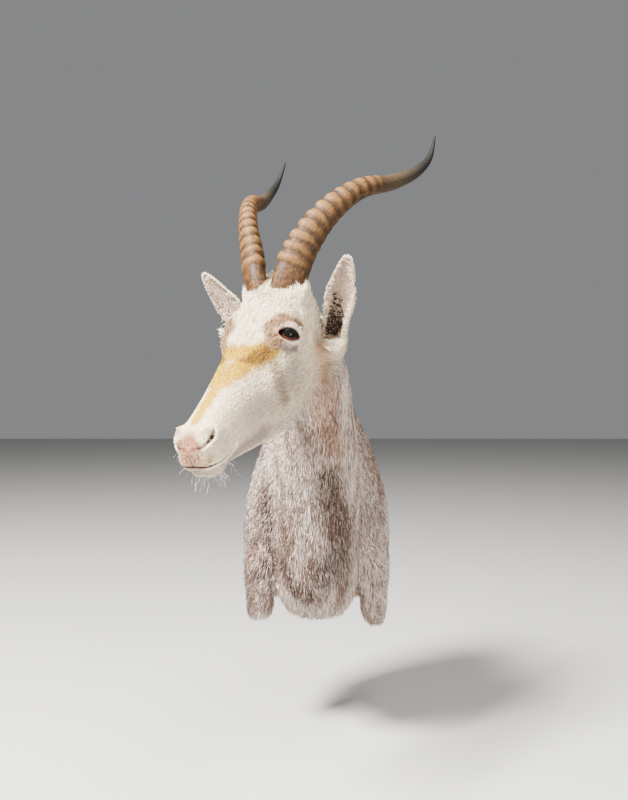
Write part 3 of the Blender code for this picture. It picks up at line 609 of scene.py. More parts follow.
def fill_diagonals(values, step):
    """Fills or opens cells where only two opposite corners differ from the others."""
    inside = values < 0
    shape = np.array(values.shape)
    total = cell_total(inside)
    found = 0
    for i, j in ((0, 0), (0, 1), (1, 0), (1, 1)):
        near = inside[i:shape[0] - 1 + i, j:shape[1] - 1 + j, :-1]
        far = inside[1 - i:shape[0] - i, 1 - j:shape[1] - j, 1:]
        filled = (total == 6) & ~near & ~far
        lone = (total == 2) & near & far
        found += filled.sum() + lone.sum()
        view = values[i:shape[0] - 1 + i, j:shape[1] - 1 + j, :-1]
        view[filled] = -0.02 * step
        view[lone] = 0.02 * step
    return found


def cell_total(inside):
    """Number of corners of each cell that lie inside."""
    shape = np.array(inside.shape)
    total = np.zeros(shape - 1, np.uint8)
    for i in (0, 1):
        for j in (0, 1):
            for k in (0, 1):
                end = shape - 1 + (i, j, k)
                total += inside[i:end[0], j:end[1], k:end[2]]
    return total


def net_from_grid(values, axes):
    """Points and faces where the values on a grid pass through zero."""
    values = untangle(values, 2.0)
    inside = values < 0
    shape = np.array(values.shape)
    total = cell_total(inside)
    mixed = (total > 0) & (total < 8)
    cells = np.argwhere(mixed)
    number = np.full(shape - 1, -1, np.int64)
    number[mixed] = np.arange(len(cells))
    place_sum = np.zeros((len(cells), 3))
    count = np.zeros(len(cells))
    for axis in range(3):
        step_on = np.eye(3, dtype=int)[axis]
        others = [i for i in range(3) if i != axis]
        for i in (0, 1):
            for j in (0, 1):
                offset = np.zeros(3, int)
                offset[others[0]] = i
                offset[others[1]] = j
                a = cells + offset
                b = a + step_on
                value_a = values[tuple(a.T)]
                value_b = values[tuple(b.T)]
                crossed = (value_a < 0) != (value_b < 0)
                gap = np.where(crossed, value_a - value_b, 1.0)
                t = np.where(crossed, value_a / gap, 0.0)
                place_sum += (a + t[:, None] * step_on) * crossed[:, None]
                count += crossed
    places = place_sum / count[:, None]
    points = [np.interp(places[:, i], np.arange(shape[i]), axes[i]) for i in range(3)]
    points = np.stack(points, 1)
    faces = []
    for axis in range(3):
        one, two = [(1, 2), (2, 0), (0, 1)][axis]
        cut = [slice(None)] * 3
        cut[axis] = slice(0, -1)
        ahead = [slice(None)] * 3
        ahead[axis] = slice(1, None)
        flips = inside[tuple(cut)] != inside[tuple(ahead)]
        nodes = np.argwhere(flips)
        fits = (nodes[:, one] > 0) & (nodes[:, two] > 0)
        fits &= (nodes[:, one] < shape[one] - 1) & (nodes[:, two] < shape[two] - 1)
        nodes = nodes[fits]
        step_one = np.eye(3, dtype=int)[one]
        step_two = np.eye(3, dtype=int)[two]
        around = [nodes - step_one - step_two, nodes - step_two, nodes, nodes - step_one]
        quad = np.stack([number[tuple(c.T)] for c in around], 1)
        outward = inside[tuple(nodes.T)]
        quad[~outward] = quad[~outward, ::-1]
        faces.append(quad)
    return points, np.concatenate(faces)


def gradient(field, points, reach=0.2):
    """Slope of a field along the three axes."""
    out = np.zeros_like(points)
    for axis in range(3):
        shift = np.zeros(3)
        shift[axis] = reach
        out[:, axis] = (field(points + shift) - field(points - shift)) / (2 * reach)
    return out


def settle(field, points, most, rounds=3):
    """Moves points onto the zero level."""
    for _ in range(rounds):
        slope = gradient(field, points)
        size = np.maximum((slope**2).sum(1), 0.05)
        move = -field(points)[:, None] * slope / size[:, None]
        length = np.linalg.norm(move, axis=1, keepdims=True) + 1e-9
        points = points + move * np.minimum(1, most / length)
    return points


def relax(points, faces, rounds):
    """Evens out the spacing of the points."""
    a = faces.ravel()
    b = np.roll(faces, -1, 1).ravel()
    count = np.bincount(a, minlength=len(points)) + np.bincount(b, minlength=len(points))
    count = np.maximum(count, 1)
    for _ in range(rounds):
        total = np.zeros_like(points)
        for axis in range(3):
            total[:, axis] = np.bincount(a, points[b, axis], len(points))
            total[:, axis] += np.bincount(b, points[a, axis], len(points))
        points = points + 0.5 * (total / count[:, None] - points)
    return points


# The skin


NOSTRIL_AT = settle(skull, NOSTRIL_LINE, 3.0, 5)


def smooth_step(x):
    """0 below 0, 1 above 1, smooth between them."""
    x = np.clip(x, 0, 1)
    return x * x * (3 - 2 * x)


def behind_head(points):
    """0 on the head, 1 on the neck and shoulders."""
    ahead = (points - HEAD_CUT_AT) @ HEAD_CUT_FACES
    return smooth_step((40 - ahead) / 80)


def eye_frame():
    """Directions out of the left eye, along its opening and up across it."""
    look = unit(EYE_LOOK)
    long = unit(EYE_LONG - look * (EYE_LONG @ look))
    up = np.cross(look, long)
    return look, long, up * np.sign(up[2])


def eye_opening(q, d):
    """Opens the lids and the socket; q has its right side folded over the left."""
    look, long, up = eye_frame()
    e = q - EYE_CENTRE
    x = e @ long
    y = e @ up
    z = e @ look
    height = np.where(y > 0, EYE_UPPER, EYE_LOWER)
    bow = height * np.maximum(1 - (x / EYE_HALF_LENGTH) ** 2, 0.0) ** 0.68
    almond = np.maximum((np.abs(y) - bow) * 0.8, np.abs(x) - EYE_HALF_LENGTH)
    almond = np.maximum(almond, 6 - z)
    d = carve(d, almond, 1.2)
    return np.maximum(d, EYE_RADIUS + 0.15 - np.linalg.norm(e, axis=1))


def skin_field(points):
    """The flesh less the depth of the coat, with the lids open."""
    d = flesh(points) + HEAD_COAT_DEPTH + BODY_COAT_MORE * behind_head(points)
    q = to_head(points)
    q[:, 1] = np.abs(q[:, 1])
    close = (np.abs(q - EYE_CENTRE).max(1) < 46)
    if close.any():
        d[close] = eye_opening(q[close], d[close])
    back = points[:, 1] + BOARD_THICKNESS + BOARD_ROOM
    return np.maximum(d, back)


def skin_mesh():
    """Points and faces of the skin, settled and evenly spaced."""
    axes = [grid_places(*ends, FINE_CELL, COARSE_CELL) for ends in GRID_ENDS]
    points, faces = surface_net(skin_field, axes)
    points = settle(skin_field, points, 2.0, 2)
    points = relax(points, faces, 2)
    points = settle(skin_field, points, 2.0, 1)
    return points, faces


# Node trees written as sums


class Wire:
    """A socket of a node tree that takes part in ordinary sums."""

    def __init__(self, bench, socket):
        self.bench = bench
        self.socket = socket

    def __add__(self, other):
        return self.bench.sum("ADD", self, other)

    __radd__ = __add__

    def __sub__(self, other):
        return self.bench.sum("SUBTRACT", self, other)

    def __rsub__(self, other):
        return self.bench.sum("SUBTRACT", other, self)

    def __mul__(self, other):
        return self.bench.sum("MULTIPLY", self, other)

    __rmul__ = __mul__

    def __truediv__(self, other):
        return self.bench.sum("DIVIDE", self, other)

    def __rtruediv__(self, other):
        return self.bench.sum("DIVIDE", other, self)

    def __pow__(self, other):
        return self.bench.sum("POWER", self, other)


class Bench:
    """Adds nodes to one tree."""

    def __init__(self, tree):
        self.tree = tree

    def node(self, kind, settings=None, inputs=None, output=0):
        """A node of a type, its settings first, then values or wires of its sockets."""
        item = self.tree.nodes.new(kind)
        for name, value in (settings or {}).items():
            setattr(item, name, value)
        for key, value in (inputs or {}).items():
            socket = item.inputs[key]
            if isinstance(value, Wire):
                self.tree.links.new(value.socket, socket)
            else:
                socket.default_value = value
        return Wire(self, item.outputs[output])

    def sum(self, operation, a, b):
        return self.node("ShaderNodeMath", {"operation": operation}, {0: a, 1: b})

    def call(self, operation, *values):
        return self.node("ShaderNodeMath", {"operation": operation},
                         dict(enumerate(values)))

    def vector(self, operation, *values, output=0):
        return self.node("ShaderNodeVectorMath", {"operation": operation},
                         dict(enumerate(values)), output)

    def dot(self, a, b):
        return self.vector("DOT_PRODUCT", a, b, output="Value")

    def parts(self, vector):
        """The three number sockets of a vector."""
        split = self.node("ShaderNodeSeparateXYZ", None, {0: vector})
        return split.socket.node.outputs[:3]

    def scaled(self, vector, size):
        """A direction made longer or shorter."""
        return self.node("ShaderNodeVectorMath", {"operation": "SCALE"},
                         {0: vector, "Scale": size})

    def held(self, value):
        """A number held between 0 and 1."""
        return self.call("MINIMUM", self.call("MAXIMUM", value, 0.0), 1.0)

    def stored(self, name):
        """A number that is stored on the points of the mesh."""
        return self.node("ShaderNodeAttribute", {"attribute_name": name}, output="Fac")

    def step(self, value, low, high):
        """0 below one value, 1 above the other, smooth between them."""
        return self.node("ShaderNodeMapRange", {"interpolation_type": "SMOOTHSTEP"},
                         {"Value": value, "From Min": low, "From Max": high})

    def mix(self, share, a, b):
        """One colour turning into another."""
        return self.node("ShaderNodeMix", {"data_type": "RGBA"},
                         {0: share, 6: a, 7: b}, 2)

    def noise(self, vector, scale, detail=2.0, rough=0.5):
        return self.node("ShaderNodeTexNoise", None,
                         {"Vector": vector, "Scale": scale, "Detail": detail,
                          "Roughness": rough})


def surface(name, roughness, **constants):
    """A new material with its bench and its main shader node."""
    item = bpy.data.materials.new(name)
    item.use_nodes = True
    shader = item.node_tree.nodes["Principled BSDF"]
    shader.inputs["Roughness"].default_value = roughness
    for key, value in constants.items():
        shader.inputs[key.replace("_", " ")].default_value = value
    return item, Bench(item.node_tree), shader


def feed(bench, wire, shader, name):
    """Joins a wire to a socket of the shader."""
    bench.tree.links.new(wire.socket, shader.inputs[name])


def bump(bench, height, distance, strength=1.0):
    """Relief from a height between 0 and 1."""
    return bench.node("ShaderNodeBump", None,
                      {"Height": height, "Distance": distance, "Strength": strength})


# Markings, the same on the skin and on the coat


def lift(colour):
    """A colour as the four numbers of a colour socket."""
    return (*colour[:3], 1.0)


def frame_place(bench):
    """Places in millimetres in the part's frame."""
    at = bench.node("ShaderNodeTexCoord", output="Object")
    return bench.vector("MULTIPLY", at, (1000.0,) * 3)


def places(bench):
    """Places in millimetres: in the part's frame, in head directions folded over, and not."""
    p = frame_place(bench)
    parts = []
    for axis in (HEAD_NOSE, HEAD_LEFT, HEAD_TOP):
        parts.append(bench.dot(p, tuple(axis)) - float(HEAD_AT @ axis))
    nose, left, top = parts
    fold = bench.call("ABSOLUTE", left)
    q = bench.node("ShaderNodeCombineXYZ", None, {0: nose, 1: fold, 2: top})
    real = bench.node("ShaderNodeCombineXYZ", None, {0: nose, 1: left, 2: top})
    return p, q, real


def spot(bench, q, centre, radii, soft=0.6):
    """1 inside an oval patch, fading to 0 at its edge."""
    d = bench.vector("SUBTRACT", q, tuple(centre))
    d = bench.vector("DIVIDE", d, tuple(radii))
    length = bench.vector("LENGTH", d, output="Value")
    return bench.step(length, 1.0, 1.0 - soft)


def shaken(bench, q, scale, amount):
    """Places moved about a little, so that the edges of a patch turn uneven."""
    wander = bench.node("ShaderNodeTexNoise", None,
                        {"Vector": q, "Scale": scale, "Detail": 2.0}, "Color")
    wander = bench.vector("SUBTRACT", wander, (0.5, 0.5, 0.5))
    return bench.vector("ADD", q, bench.vector("MULTIPLY", wander, (amount,) * 3))


def head_share(bench, p):
    """1 on the head, 0 on the neck and shoulders."""
    ahead = bench.dot(p, tuple(HEAD_CUT_FACES)) - float(HEAD_CUT_AT @ HEAD_CUT_FACES)
    return bench.step(ahead, -35.0, 45.0)


def strands(bench, p, q, head, fine=1.0):
    """Noise drawn out along the lie of the coat: long strands below, short on the face."""
    down = bench.vector("MULTIPLY", p, (0.42 * fine, 0.30 * fine, 0.045 * fine))
    back = bench.vector("MULTIPLY", q, (0.10 * fine, 0.80 * fine, 0.80 * fine))
    way = bench.node("ShaderNodeMix", {"data_type": "VECTOR"}, {0: head, 4: down, 5: back}, 1)
    return bench.noise(way, 1.0, 3.0, 0.6)


def stroke(bench, q, start, end, wide, soft=0.85):
    """1 along a stroke from one place to another, fading to 0 at its edge."""
    start = np.array(start, float)
    way = np.array(end, float) - start
    size = float(way @ way)
    run = bench.dot(q, tuple(way / size)) - float(start @ way) / size
    run = bench.held(run)
    near = bench.vector("MULTIPLY_ADD", run, tuple(way), tuple(start))
    gap = bench.vector("DISTANCE", q, near, output="Value")
    return bench.step(gap / (run * (wide[1] - wide[0]) + wide[0]), 1.0, 1.0 - soft)


def painted(bench, look, base, q, marks, streak, even=0.75):
    """The base colour with every group of strokes laid over it."""
    for colour, share, rows in marks:
        mask = stroke(bench, q, *rows[0])
        for row in rows[1:]:
            mask = bench.call("MAXIMUM", mask, stroke(bench, q, *row))
        mask = mask * (even * share + 1.25 * (1.0 - even) * share * streak)
        base = bench.mix(bench.call("MINIMUM", mask, 1.0), base, lift(getattr(look, colour)))
    return base


def coat_colour(bench, look):
    """Base colour of the white coat with its stains and streaks."""
    p, q, real = places(bench)
    head = head_share(bench, p)
    streak = strands(bench, p, real, head)
    sharp = bench.step(streak, 0.36, 0.64)
    broad = bench.noise(bench.vector("MULTIPLY", p, (0.022, 0.016, 0.007)), 1.0, 3.0, 0.6)

    # neck and shoulders
    body = bench.mix(bench.step(broad, 0.36, 0.68), lift(look.body_pale), lift(look.body_warm))
    body = painted(bench, look, body, shaken(bench, p, 0.03, 26.0), BODY_MARKS, sharp, 0.45)
    dark = bench.step(streak + broad * 0.5 - 0.25, 0.46, 0.59)
    body = bench.mix(dark * 0.7, body, lift(look.body_streak))
    # painted shade along the crease between neck and shoulder
    body = painted(bench, look, body, p, NECK_CREASE_SHADE, 1.0)

    # head
    face = bench.mix(sharp, lift(look.face_cream), lift(look.face_white))
    face = painted(bench, look, face, shaken(bench, q, 0.08, 9.0), FACE_MARKS, sharp)
    fleck = bench.step(strands(bench, p, real, head, 1.9), 0.55, 0.70)
    face = bench.mix(fleck * 0.30, face, lift(look.eye_brown))
    face = painted(bench, look, face, q, FACE_LINES, 1.0)
    pad = spot(bench, q, (222, 0, -12), (20, 27, 18), 0.5)
    mottle = bench.step(bench.noise(q, 0.15, 2.0), 0.38, 0.62)
    face = bench.mix(pad * mottle * 0.6, face, lift(look.lip_tan))
    speck = pad * bench.step(bench.noise(q, 0.22, 1.0), 0.47, 0.56)
    face = bench.mix(speck * 0.85, face, lift(look.mouth_dark))
    face = bench.mix(mouth_line(bench, q), face, lift(look.mouth_dark))
    face = ear_cup(bench, look, q, face)
    return bench.mix(head, body, face), streak, p, q, head


def ear_cup(bench, look, q, face):
    """Pinkish inside of the ear, with painted shade, ragged and dark brown, in its hollow."""
    cup = bench.stored("cup")
    along, _, across, _ = ear_frame()
    run = bench.dot(q, tuple(along)) - float(EAR_ROOT @ along)
    side = bench.dot(q, tuple(across)) - float(EAR_ROOT @ across)
    ragged = bench.noise(bench.vector("MULTIPLY", q, (0.13, 0.13, 0.05)), 1.0, 2.0, 0.5)
    face = bench.mix(bench.step(cup, 0.05, 0.30) * 0.7, face, lift(look.ear_pink))
    deep = cup + (ragged - 0.5) * 1.9 - 0.4 * bench.step(run, 40.0, 75.0)
    deep = deep - 0.9 * bench.step(run, 80.0, 112.0) - 0.7 * bench.step(run, 32.0, 12.0)
    deep = deep - 0.9 * bench.step(bench.call("ABSOLUTE", side + 9.0), 5.0, 17.0)
    dark = bench.step(deep, 0.30, 0.52) * bench.step(cup, 0.10, 0.35)
    hairs = bench.node("ShaderNodeCombineXYZ", None, {0: run * 0.24, 1: side * 0.07})
    light = bench.step(bench.noise(hairs, 1.0, 3.0), 0.50, 0.58) * bench.step(run, 42.0, 64.0)
    dark = dark * (1.0 - 0.8 * light)
    # painted shade in the hollow of the ear, broken by pale hairs
    return bench.mix(dark * 0.96, face, lift(look.ear_dark))


def mouth_line(bench, q):
    """1 in the dark parting of the lips and in the groove under the nose."""
    nose, left, top = [Wire(bench, q_part) for q_part in bench.parts(q)]
    past = nose - 150.0
    level = past * past * 0.0021 + past * 0.15 - 55.5
    line = bench.step(bench.call("ABSOLUTE", top - level), 2.0, 0.6)
    line = line * (0.25 + 0.75 * bench.step(nose, 186.0, 216.0))
    line = line * bench.step(nose, MOUTH_CORNER - 2, MOUTH_CORNER + 8)
    groove = bench.step(left, 2.0, 0.5) * bench.step(top - level, 0.0, 2.0)
    groove = groove * bench.step(top, -8.0, -14.0) * bench.step(nose, 214.0, 220.0)
    return bench.call("MAXIMUM", line, groove * 0.8)


# Marks: colour, strength and strokes, each with start, end and half widths, in millimetres
BODY_MARKS = (
    ("body_pale", 0.8, (
        ((-26, -280, 50), (-24, -250, -70), (34, 34)),
        ((92, -126, 20), (112, -116, -90), (34, 38)),
        ((-100, -108, -10), (-110, -116, -70), (26, 24)),
    )),
    ("body_peach", 0.85, (
        ((4, -366, 216), (20, -330, 130), (44, 48)),
        ((20, -330, 130), (44, -296, 60), (44, 30)),
    )),
    ("body_brown", 1.0, (
        ((-88, -118, 0), (-83, -138, -71), (26, 34)),
        ((-83, -138, -71), (-78, -152, -130), (34, 34)),
        ((-52, -200, -130), (-20, -222, -170), (30, 30)),
        ((-114, -118, -100), (-100, -140, -150), (24, 24)),
    )),
    ("body_dark", 0.88, (
        ((13, -283, 40), (24, -263, -17), (34, 42)),
        ((28, -263, -17), (42, -238, -71), (44, 56)),
        ((42, -238, -71), (24, -238, -118), (56, 50)),
    )),
    ("body_dark", 0.5, (
        ((20, -238, -118), (-4, -222, -170), (46, 34)),
    )),
)
NECK_CREASE_SHADE = (
    # painted shade along the crease between neck and shoulder
    ("body_streak", 0.6, (
        ((-90, -70, 80), (-82, -109, 34), (3, 3.5)),
        ((-82, -109, 34), (-74, -139, -16), (3.5, 4)),
    )),
)
FACE_MARKS = (
    # golden stain across the bridge of the nose and down it
    ("stain_gold", 1.3, (
        ((30, 40, 0), (50, 24, 6), (22, 30)),
        ((50, 24, 6), (58, 0, 15), (30, 24)),
        ((58, 22, 8), (112, 6, 11), (31, 21)),
        ((112, 0, 12), (186, 0, 10), (19, 11)),
    )),
    # its ochre end and the faint tan streak down the cheek
    ("stain_tan", 1.1, (
        ((32, 37, 2), (52, 30, 2), (17, 20)),
        ((52, 30, 2), (66, 16, 9), (18, 9)),
    )),
    ("stain_tan", 0.65, (
        ((40, 41, -10), (53, 45, -34), (15, 19)),
        ((53, 45, -34), (56, 45, -70), (19, 15)),
    )),
    # grey under the eye, then painted shade on the cheek, behind the nostril, under the jaw
    # and on the chin
    ("eye_grey", 1.2, (
        ((21, 46, 2), (15, 53, -13), (9, 11)),
        ((15, 53, -13), (-4, 58, -26), (11, 9)),
    )),
    # painted shade on the cheek and under the jaw
    ("jaw_painted_shade", 0.5, (
        ((20, 50, -60), (120, 34, -44), (44, 34)),
        ((0, 20, -118), (110, 22, -84), (30, 24)),
    )),
    # painted shade along the lower jaw and under the chin
    ("jaw_painted_shade", 0.9, (
        ((110, 22, -84), (186, 20, -58), (24, 16)),
        ((226, 4, -40), (190, 22, -56), (18, 18)),
    )),
    # brown before and over the eye
    ("eye_brown", 1.5, (
        ((-14, 44, 19), (4, 36, 18), (17, 20)),
        ((4, 36, 18), (21, 42, 8), (20, 17)),
    )),
    ("eye_brown", 1.1, (
        ((2, 50, 8), (-18, 58, -2), (27, 25)),
        ((-16, 46, 18), (-36, 53, -12), (18, 13)),
    )),
    # back of the cheek under the ear
    ("body_peach", 0.8, (
        ((-60, 54, -64), (-58, 48, -112), (18, 24)),
        ((-58, 48, -112), (-44, 22, -190), (25, 30)),
    )),
    # painted shade in the gap before the root of the ear
    ("ear_dark", 1.2, (
        ((-92, 51, -46), (-84, 59, -76), (8, 9)),
    )),
    # pink nose and tan lips
    ("nose_pink", 1.15, (
        ((216, 0, -3), (228, 0, -20), (29, 25)),
        ((198, 22, 4), (218, 9, -6), (8, 15)),
    )),
    ("lip_tan", 1.2, (
        ((230, 3, -24), (222, 21, -24), (11, 12)),
    )),
)
FACE_LINES = (
    ("nostril_red", 0.7, (
        ((187, 27, 0), (204, 28, -3), (6, 8)),
        ((204, 28, -3), (219, 14, -6), (6, 4.5)),
    )),
    # painted shade in the depth of each nostril
    ("nostril_painted_shade", 0.85, (
        ((189, 28, -1), (204, 28, -3), (3.5, 4.5)),
        ((204, 28, -4), (219, 14, -7), (3.5, 2.4)),
    )),
    ("mouth_dark", 1.0, (
        ((15, 45, 12), (5, 49, 6), (3.5, 5)),
        ((-11, 61, -13), (-19, 61, -23), (5.5, 3)),
    )),
)


# The coat


def triangles_of(item):
    """Corner places in millimetres, corner normals and areas of a mesh's triangles."""
    mesh = item.data
    mesh.calc_loop_triangles()
    corners = np.empty(len(mesh.loop_triangles) * 3, np.int64)
    mesh.loop_triangles.foreach_get("vertices", corners)
    corners = corners.reshape(-1, 3)
    points = np.empty(len(mesh.vertices) * 3)
    mesh.vertices.foreach_get("co", points)
    normals = np.empty(len(mesh.vertices) * 3)
    mesh.vertices.foreach_get("normal", normals)
    points = points.reshape(-1, 3) / MM
    normals = normals.reshape(-1, 3)
    a, b, c = [points[corners[:, i]] for i in range(3)]
    area = np.linalg.norm(np.cross(b - a, c - a), axis=1) / 2
    return points[corners], normals[corners], area


def scatter(corners, normals, area, weight, count, rng):
    """Roots spread over the triangles by area and weight."""
    share = np.cumsum(area * weight)
    picks = (np.arange(count) + rng.random(count)) / count * share[-1]
    face = np.minimum(np.searchsorted(share, picks), len(area) - 1)
    u = rng.random((count, 2))
    over = u.sum(1) > 1
    u[over] = 1 - u[over]
    w = np.column_stack((1 - u.sum(1), u))[:, :, None]
    points = (corners[face] * w).sum(1)
    facing = (normals[face] * w).sum(1)
    facing /= np.linalg.norm(facing, axis=1, keepdims=True) + 1e-9
    return points, facing


def on_surface(v, facing):
    """Directions laid flat on the surface and made one long."""
    v = v - facing * (v * facing).sum(1)[:, None]
    return v / (np.linalg.norm(v, axis=1, keepdims=True) + 1e-6)


def ear_places(q):
    """Place along each ear, sideways, and towards its open face, for the nearer ear."""
    along, face, side, _ = ear_frame()
    d = beside_ear(q) - EAR_ROOT
    return d @ along, d @ side, d @ face


def lie(points, facing):
    """The way the hair lies: back over the head, down the neck and the shoulders."""
    _, _, front, back = lookup(NECK_KEYS, points[:, 2])
    depth = smooth_step((points[:, 1] + front) / np.maximum(front - back, 60))[:, None]
    out = np.clip(points[:, :1] / 120, -1, 1)
    v = np.concatenate((0.22 * out, np.full_like(out, 0.12), np.full_like(out, -1.0)), 1)
    nape = np.concatenate((0.05 + 0.1 * out, np.full_like(out, 0.8),
                           np.full_like(out, -0.62)), 1)
    v = v + (nape - v) * depth * smooth_step((points[:, 2:] + 40) / 200)
    q = to_head(points)
    on_head = -HEAD_NOSE[None, :] + np.clip((q[:, :1] + 40) / -80, 0, 1) * 0.35 * HEAD_TOP
    low = np.clip((-40 - q[:, 2:]) / 80, 0, 1)
    on_head = on_head + low * np.array((0, 0.1, -0.35))
    on_head = on_head + smooth_step((26 - horn_gap(points)) / 22)[:, None] * 0.35 * HEAD_TOP
    v = v + (on_head - v) * (1 - behind_head(points))[:, None]
    t, x, y = ear_places(q)
    ear_along = ear_frame()[0]
    along = from_head(ear_along)[0] - HEAD_AT
    mirrored = from_head(ear_along * np.array((1, -1, 1)))[0] - HEAD_AT
    ear_way = np.where(q[:, 1:2] > 0, along, mirrored)
    is_ear = smooth_step((t[:, None] - 6) / 22) * (np.hypot(x, y) < 34)[:, None]
    return on_surface(v + (ear_way - v) * is_ear, facing)


def horn_gap(points):
    """Distance from the nearer horn's skin, near its root."""
    q = to_head(points)
    q[:, 1] = np.abs(q[:, 1])
    best = np.full(len(q), 1e3)
    for low, high in zip(HORN_KEYS[:3], HORN_KEYS[1:4]):
        best = np.minimum(best, rod(q, low[:3], high[:3], low[4] + 3.5, high[4] + 3.0))
    return best


def coat_plan(points, facing):
    """Length, width, lift and growth of the hair at each place.

    After these come its share of the body, its share of an ear, whether it lies inside
    an ear, and its share of the fur round a horn.
    """
    q = to_head(points)
    fold = q.copy()
    fold[:, 1] = np.abs(fold[:, 1])
    body = behind_head(points)
    t, x, y = ear_places(q)
    radial = np.hypot(x, y)
    is_ear = smooth_step((t - 10) / 20) * (radial < 34)

    # head: shortest on the nose, longer towards the horns, cheeks and poll
    length = NOSE_HAIR + CHEEK_HAIR_MORE * smooth_step((165 - fold[:, 0]) / 150)
    length += POLL_HAIR_MORE * smooth_step((-60 - fold[:, 0]) / 60)
    around_horn = smooth_step((26 - horn_gap(points)) / 22)
    length += around_horn * np.where(q[:, 1] < 0, RIGHT_HORN_HAIR_MORE, LEFT_HORN_HAIR_MORE)
    near_eye = smooth_step((30 - np.linalg.norm(fold - EYE_CENTRE, axis=1)) / 12)
    length -= EYE_HAIR_LESS * near_eye * (length > 4)
    # neck and shoulders
    low = smooth_step((210 - points[:, 2]) / 200)
    body_length = NECK_HAIR + LOW_BODY_HAIR_MORE * low
    body_length -= LOW_EDGE_HAIR_LESS * smooth_step((-195 - points[:, 2]) / 30)
    length = length + (body_length - length) * body
    length = length + (EAR_HAIR - length) * is_ear
    width = TUFT_WIDTH + 0.75 * body - 0.25 * is_ear - 0.25 * around_horn
    lift_angle = TUFT_LIFT + 0.04 * body + 0.04 * around_horn + 0.10 * is_ear

    # where hair grows: not on the nose, in the holes, in the lids or under the horns
    grows = np.ones(len(points))
    nose = np.linalg.norm((fold - (226, 0, -16)) / (16, 20, 18), axis=1)
    grows *= smooth_step((nose - 1) / 0.4)
    grows *= smooth_step((np.linalg.norm(fold - EYE_CENTRE, axis=1) - 21.5) / 3)
    for corner, room in (((10, 47, 12), 7.0), ((-14, 62, -13), 6.0)):
        grows *= smooth_step((np.linalg.norm(fold - corner, axis=1) - room) / 2)
    grows *= smooth_step(horn_gap(points) / 2)
    level = lookup(MOUTH_LINE, fold[:, 0])[0]
    on_lips = (fold[:, 0] > MOUTH_CORNER - 4) & (np.abs(fold[:, 2] - level) < 5.0)
    grows *= ~on_lips
    grows *= nostril(fold) > 3.5
    grows *= ~((points[:, 1] > -24) & (facing[:, 1] > 0.4))
    inside_ear = (t > 8) & (radial < 30) & (y > 0) & is_ear.astype(bool)
    return length, width, lift_angle, grows, body, is_ear, inside_ear, around_horn


def clear_of_eye(roots, way, length):
    """Cuts the hair short that would lie over the opening of the lids."""
    look, long, up = eye_frame()
    for reach in (1.0, 0.5):
        q = to_head(roots + way * length[:, None] * reach)
        q[:, 1] = np.abs(q[:, 1])
        e = q - EYE_CENTRE
        x = np.abs(e @ long) / (EYE_HALF_LENGTH + 3)
        bow = (EYE_UPPER + 2.5) * np.maximum(1 - x ** 2, 0.0) ** 0.68
        over = (np.abs(e @ up) < bow) & (e @ look > 4)
        length = np.where(over, length * 0.3, length)
    return length


def tuft_arrays(roots, facing, way, length, width, rise, droop, rng):
    """Thin closed blades: two three-cornered rings and a tip."""
    count = len(roots)
    side = np.cross(facing, way)
    twist = rng.normal(0, TUFT_TWIST, (count, 1))
    flat = side * np.cos(twist) + facing * np.sin(twist)
    up = np.cross(way, flat)
    length = length[:, None]
    width = width[:, None]
    sway = side * rng.normal(0, TUFT_SWAY, (count, 1)) * length
    lifted = rise[:, None] * length
    root = roots - facing * TUFT_ROOT_DEPTH
    middle = roots + way * length * 0.5 + facing * lifted * 0.5 + sway * 0.3
    tip = roots + way * length + facing * lifted * droop[:, None] + sway
    rings = []
    for centre, (wide, thick) in ((root, TUFT_ROOT_SIZE), (middle, TUFT_MIDDLE_SIZE)):
        rings.append(centre - flat * width * wide)
        rings.append(centre + up * width * thick * 2)
        rings.append(centre + flat * width * wide)
    return np.stack((*rings, tip), 1)


TUFT_FACES = np.array((
    (0, 1, 2), (0, 4, 1), (0, 3, 4), (1, 5, 2), (1, 4, 5), (2, 3, 0), (2, 5, 3),
    (3, 6, 4), (4, 6, 5), (5, 6, 3),
))
TUFT_ACROSS = np.array((0.0, 0.5, 1.0, 0.1, 0.5, 0.9, 0.5))
TUFT_ALONG = np.array((0.0, 0.0, 0.0, 0.5, 0.5, 0.5, 1.0))
TUFT_POINTS = len(TUFT_ALONG)


def unwrap(points, head):
    """Place of each root on an unwrap of the skin: round and along its region."""
    if head:
        q = to_head(points)
        turn = np.arctan2(q[:, 1], q[:, 2] + 45) / (2 * np.pi) + 0.5
        run = (q[:, 0] + 150) / 400
    else:
        turn = np.arctan2(points[:, 0], -(points[:, 1] + 150)) / (2 * np.pi) + 0.5
        run = (points[:, 2] + 260) / 640
    place = np.column_stack((turn, run))
    low = place.min(0)
    high = place.max(0)
    return UNWRAP_MARGIN + (1 - 2 * UNWRAP_MARGIN) * (place - low) / (high - low)


def store(mesh, name, values):
    """Keeps one number a point on a mesh."""
    layer = mesh.attributes.new(name, "FLOAT", "POINT")
    layer.data.foreach_set("value", np.asarray(values, np.float32))


def cup_share(points):
    """0 outside the cup of an ear, rising to 1 at its bottom."""
    beside = beside_ear(to_head(points))
    _, hollow = ear(beside)
    along, face = ear_frame()[:2]
    run = (beside - EAR_ROOT) @ along
    level = (beside - EAR_ROOT) @ face
    deep = lookup(EAR_LEAF, run)[1]
    bottom = smooth_step((0.2 * deep - level) / (0.9 * deep))
    inside = smooth_step((2.6 - hollow) / 1.6) * smooth_step((run - 4) / 10)
    inside = inside * smooth_step((34 - level) / 10)
    return inside * (0.35 + 0.65 * bottom)


def plain_mesh(name, points, faces):
    """A mesh from places in millimetres and faces that all have as many corners."""
    mesh = bpy.data.meshes.new(name)
    mesh.vertices.add(len(points))
    mesh.vertices.foreach_set("co", (points * MM).astype(np.float32).ravel())
    mesh.loops.add(faces.size)
    mesh.loops.foreach_set("vertex_index", faces.astype(np.int32).ravel())
    starts = np.arange(0, faces.size, faces.shape[1], dtype=np.int32)
    mesh.polygons.add(len(faces))
    mesh.polygons.foreach_set("loop_start", starts)
    mesh.update(calc_edges=True)
    return mesh


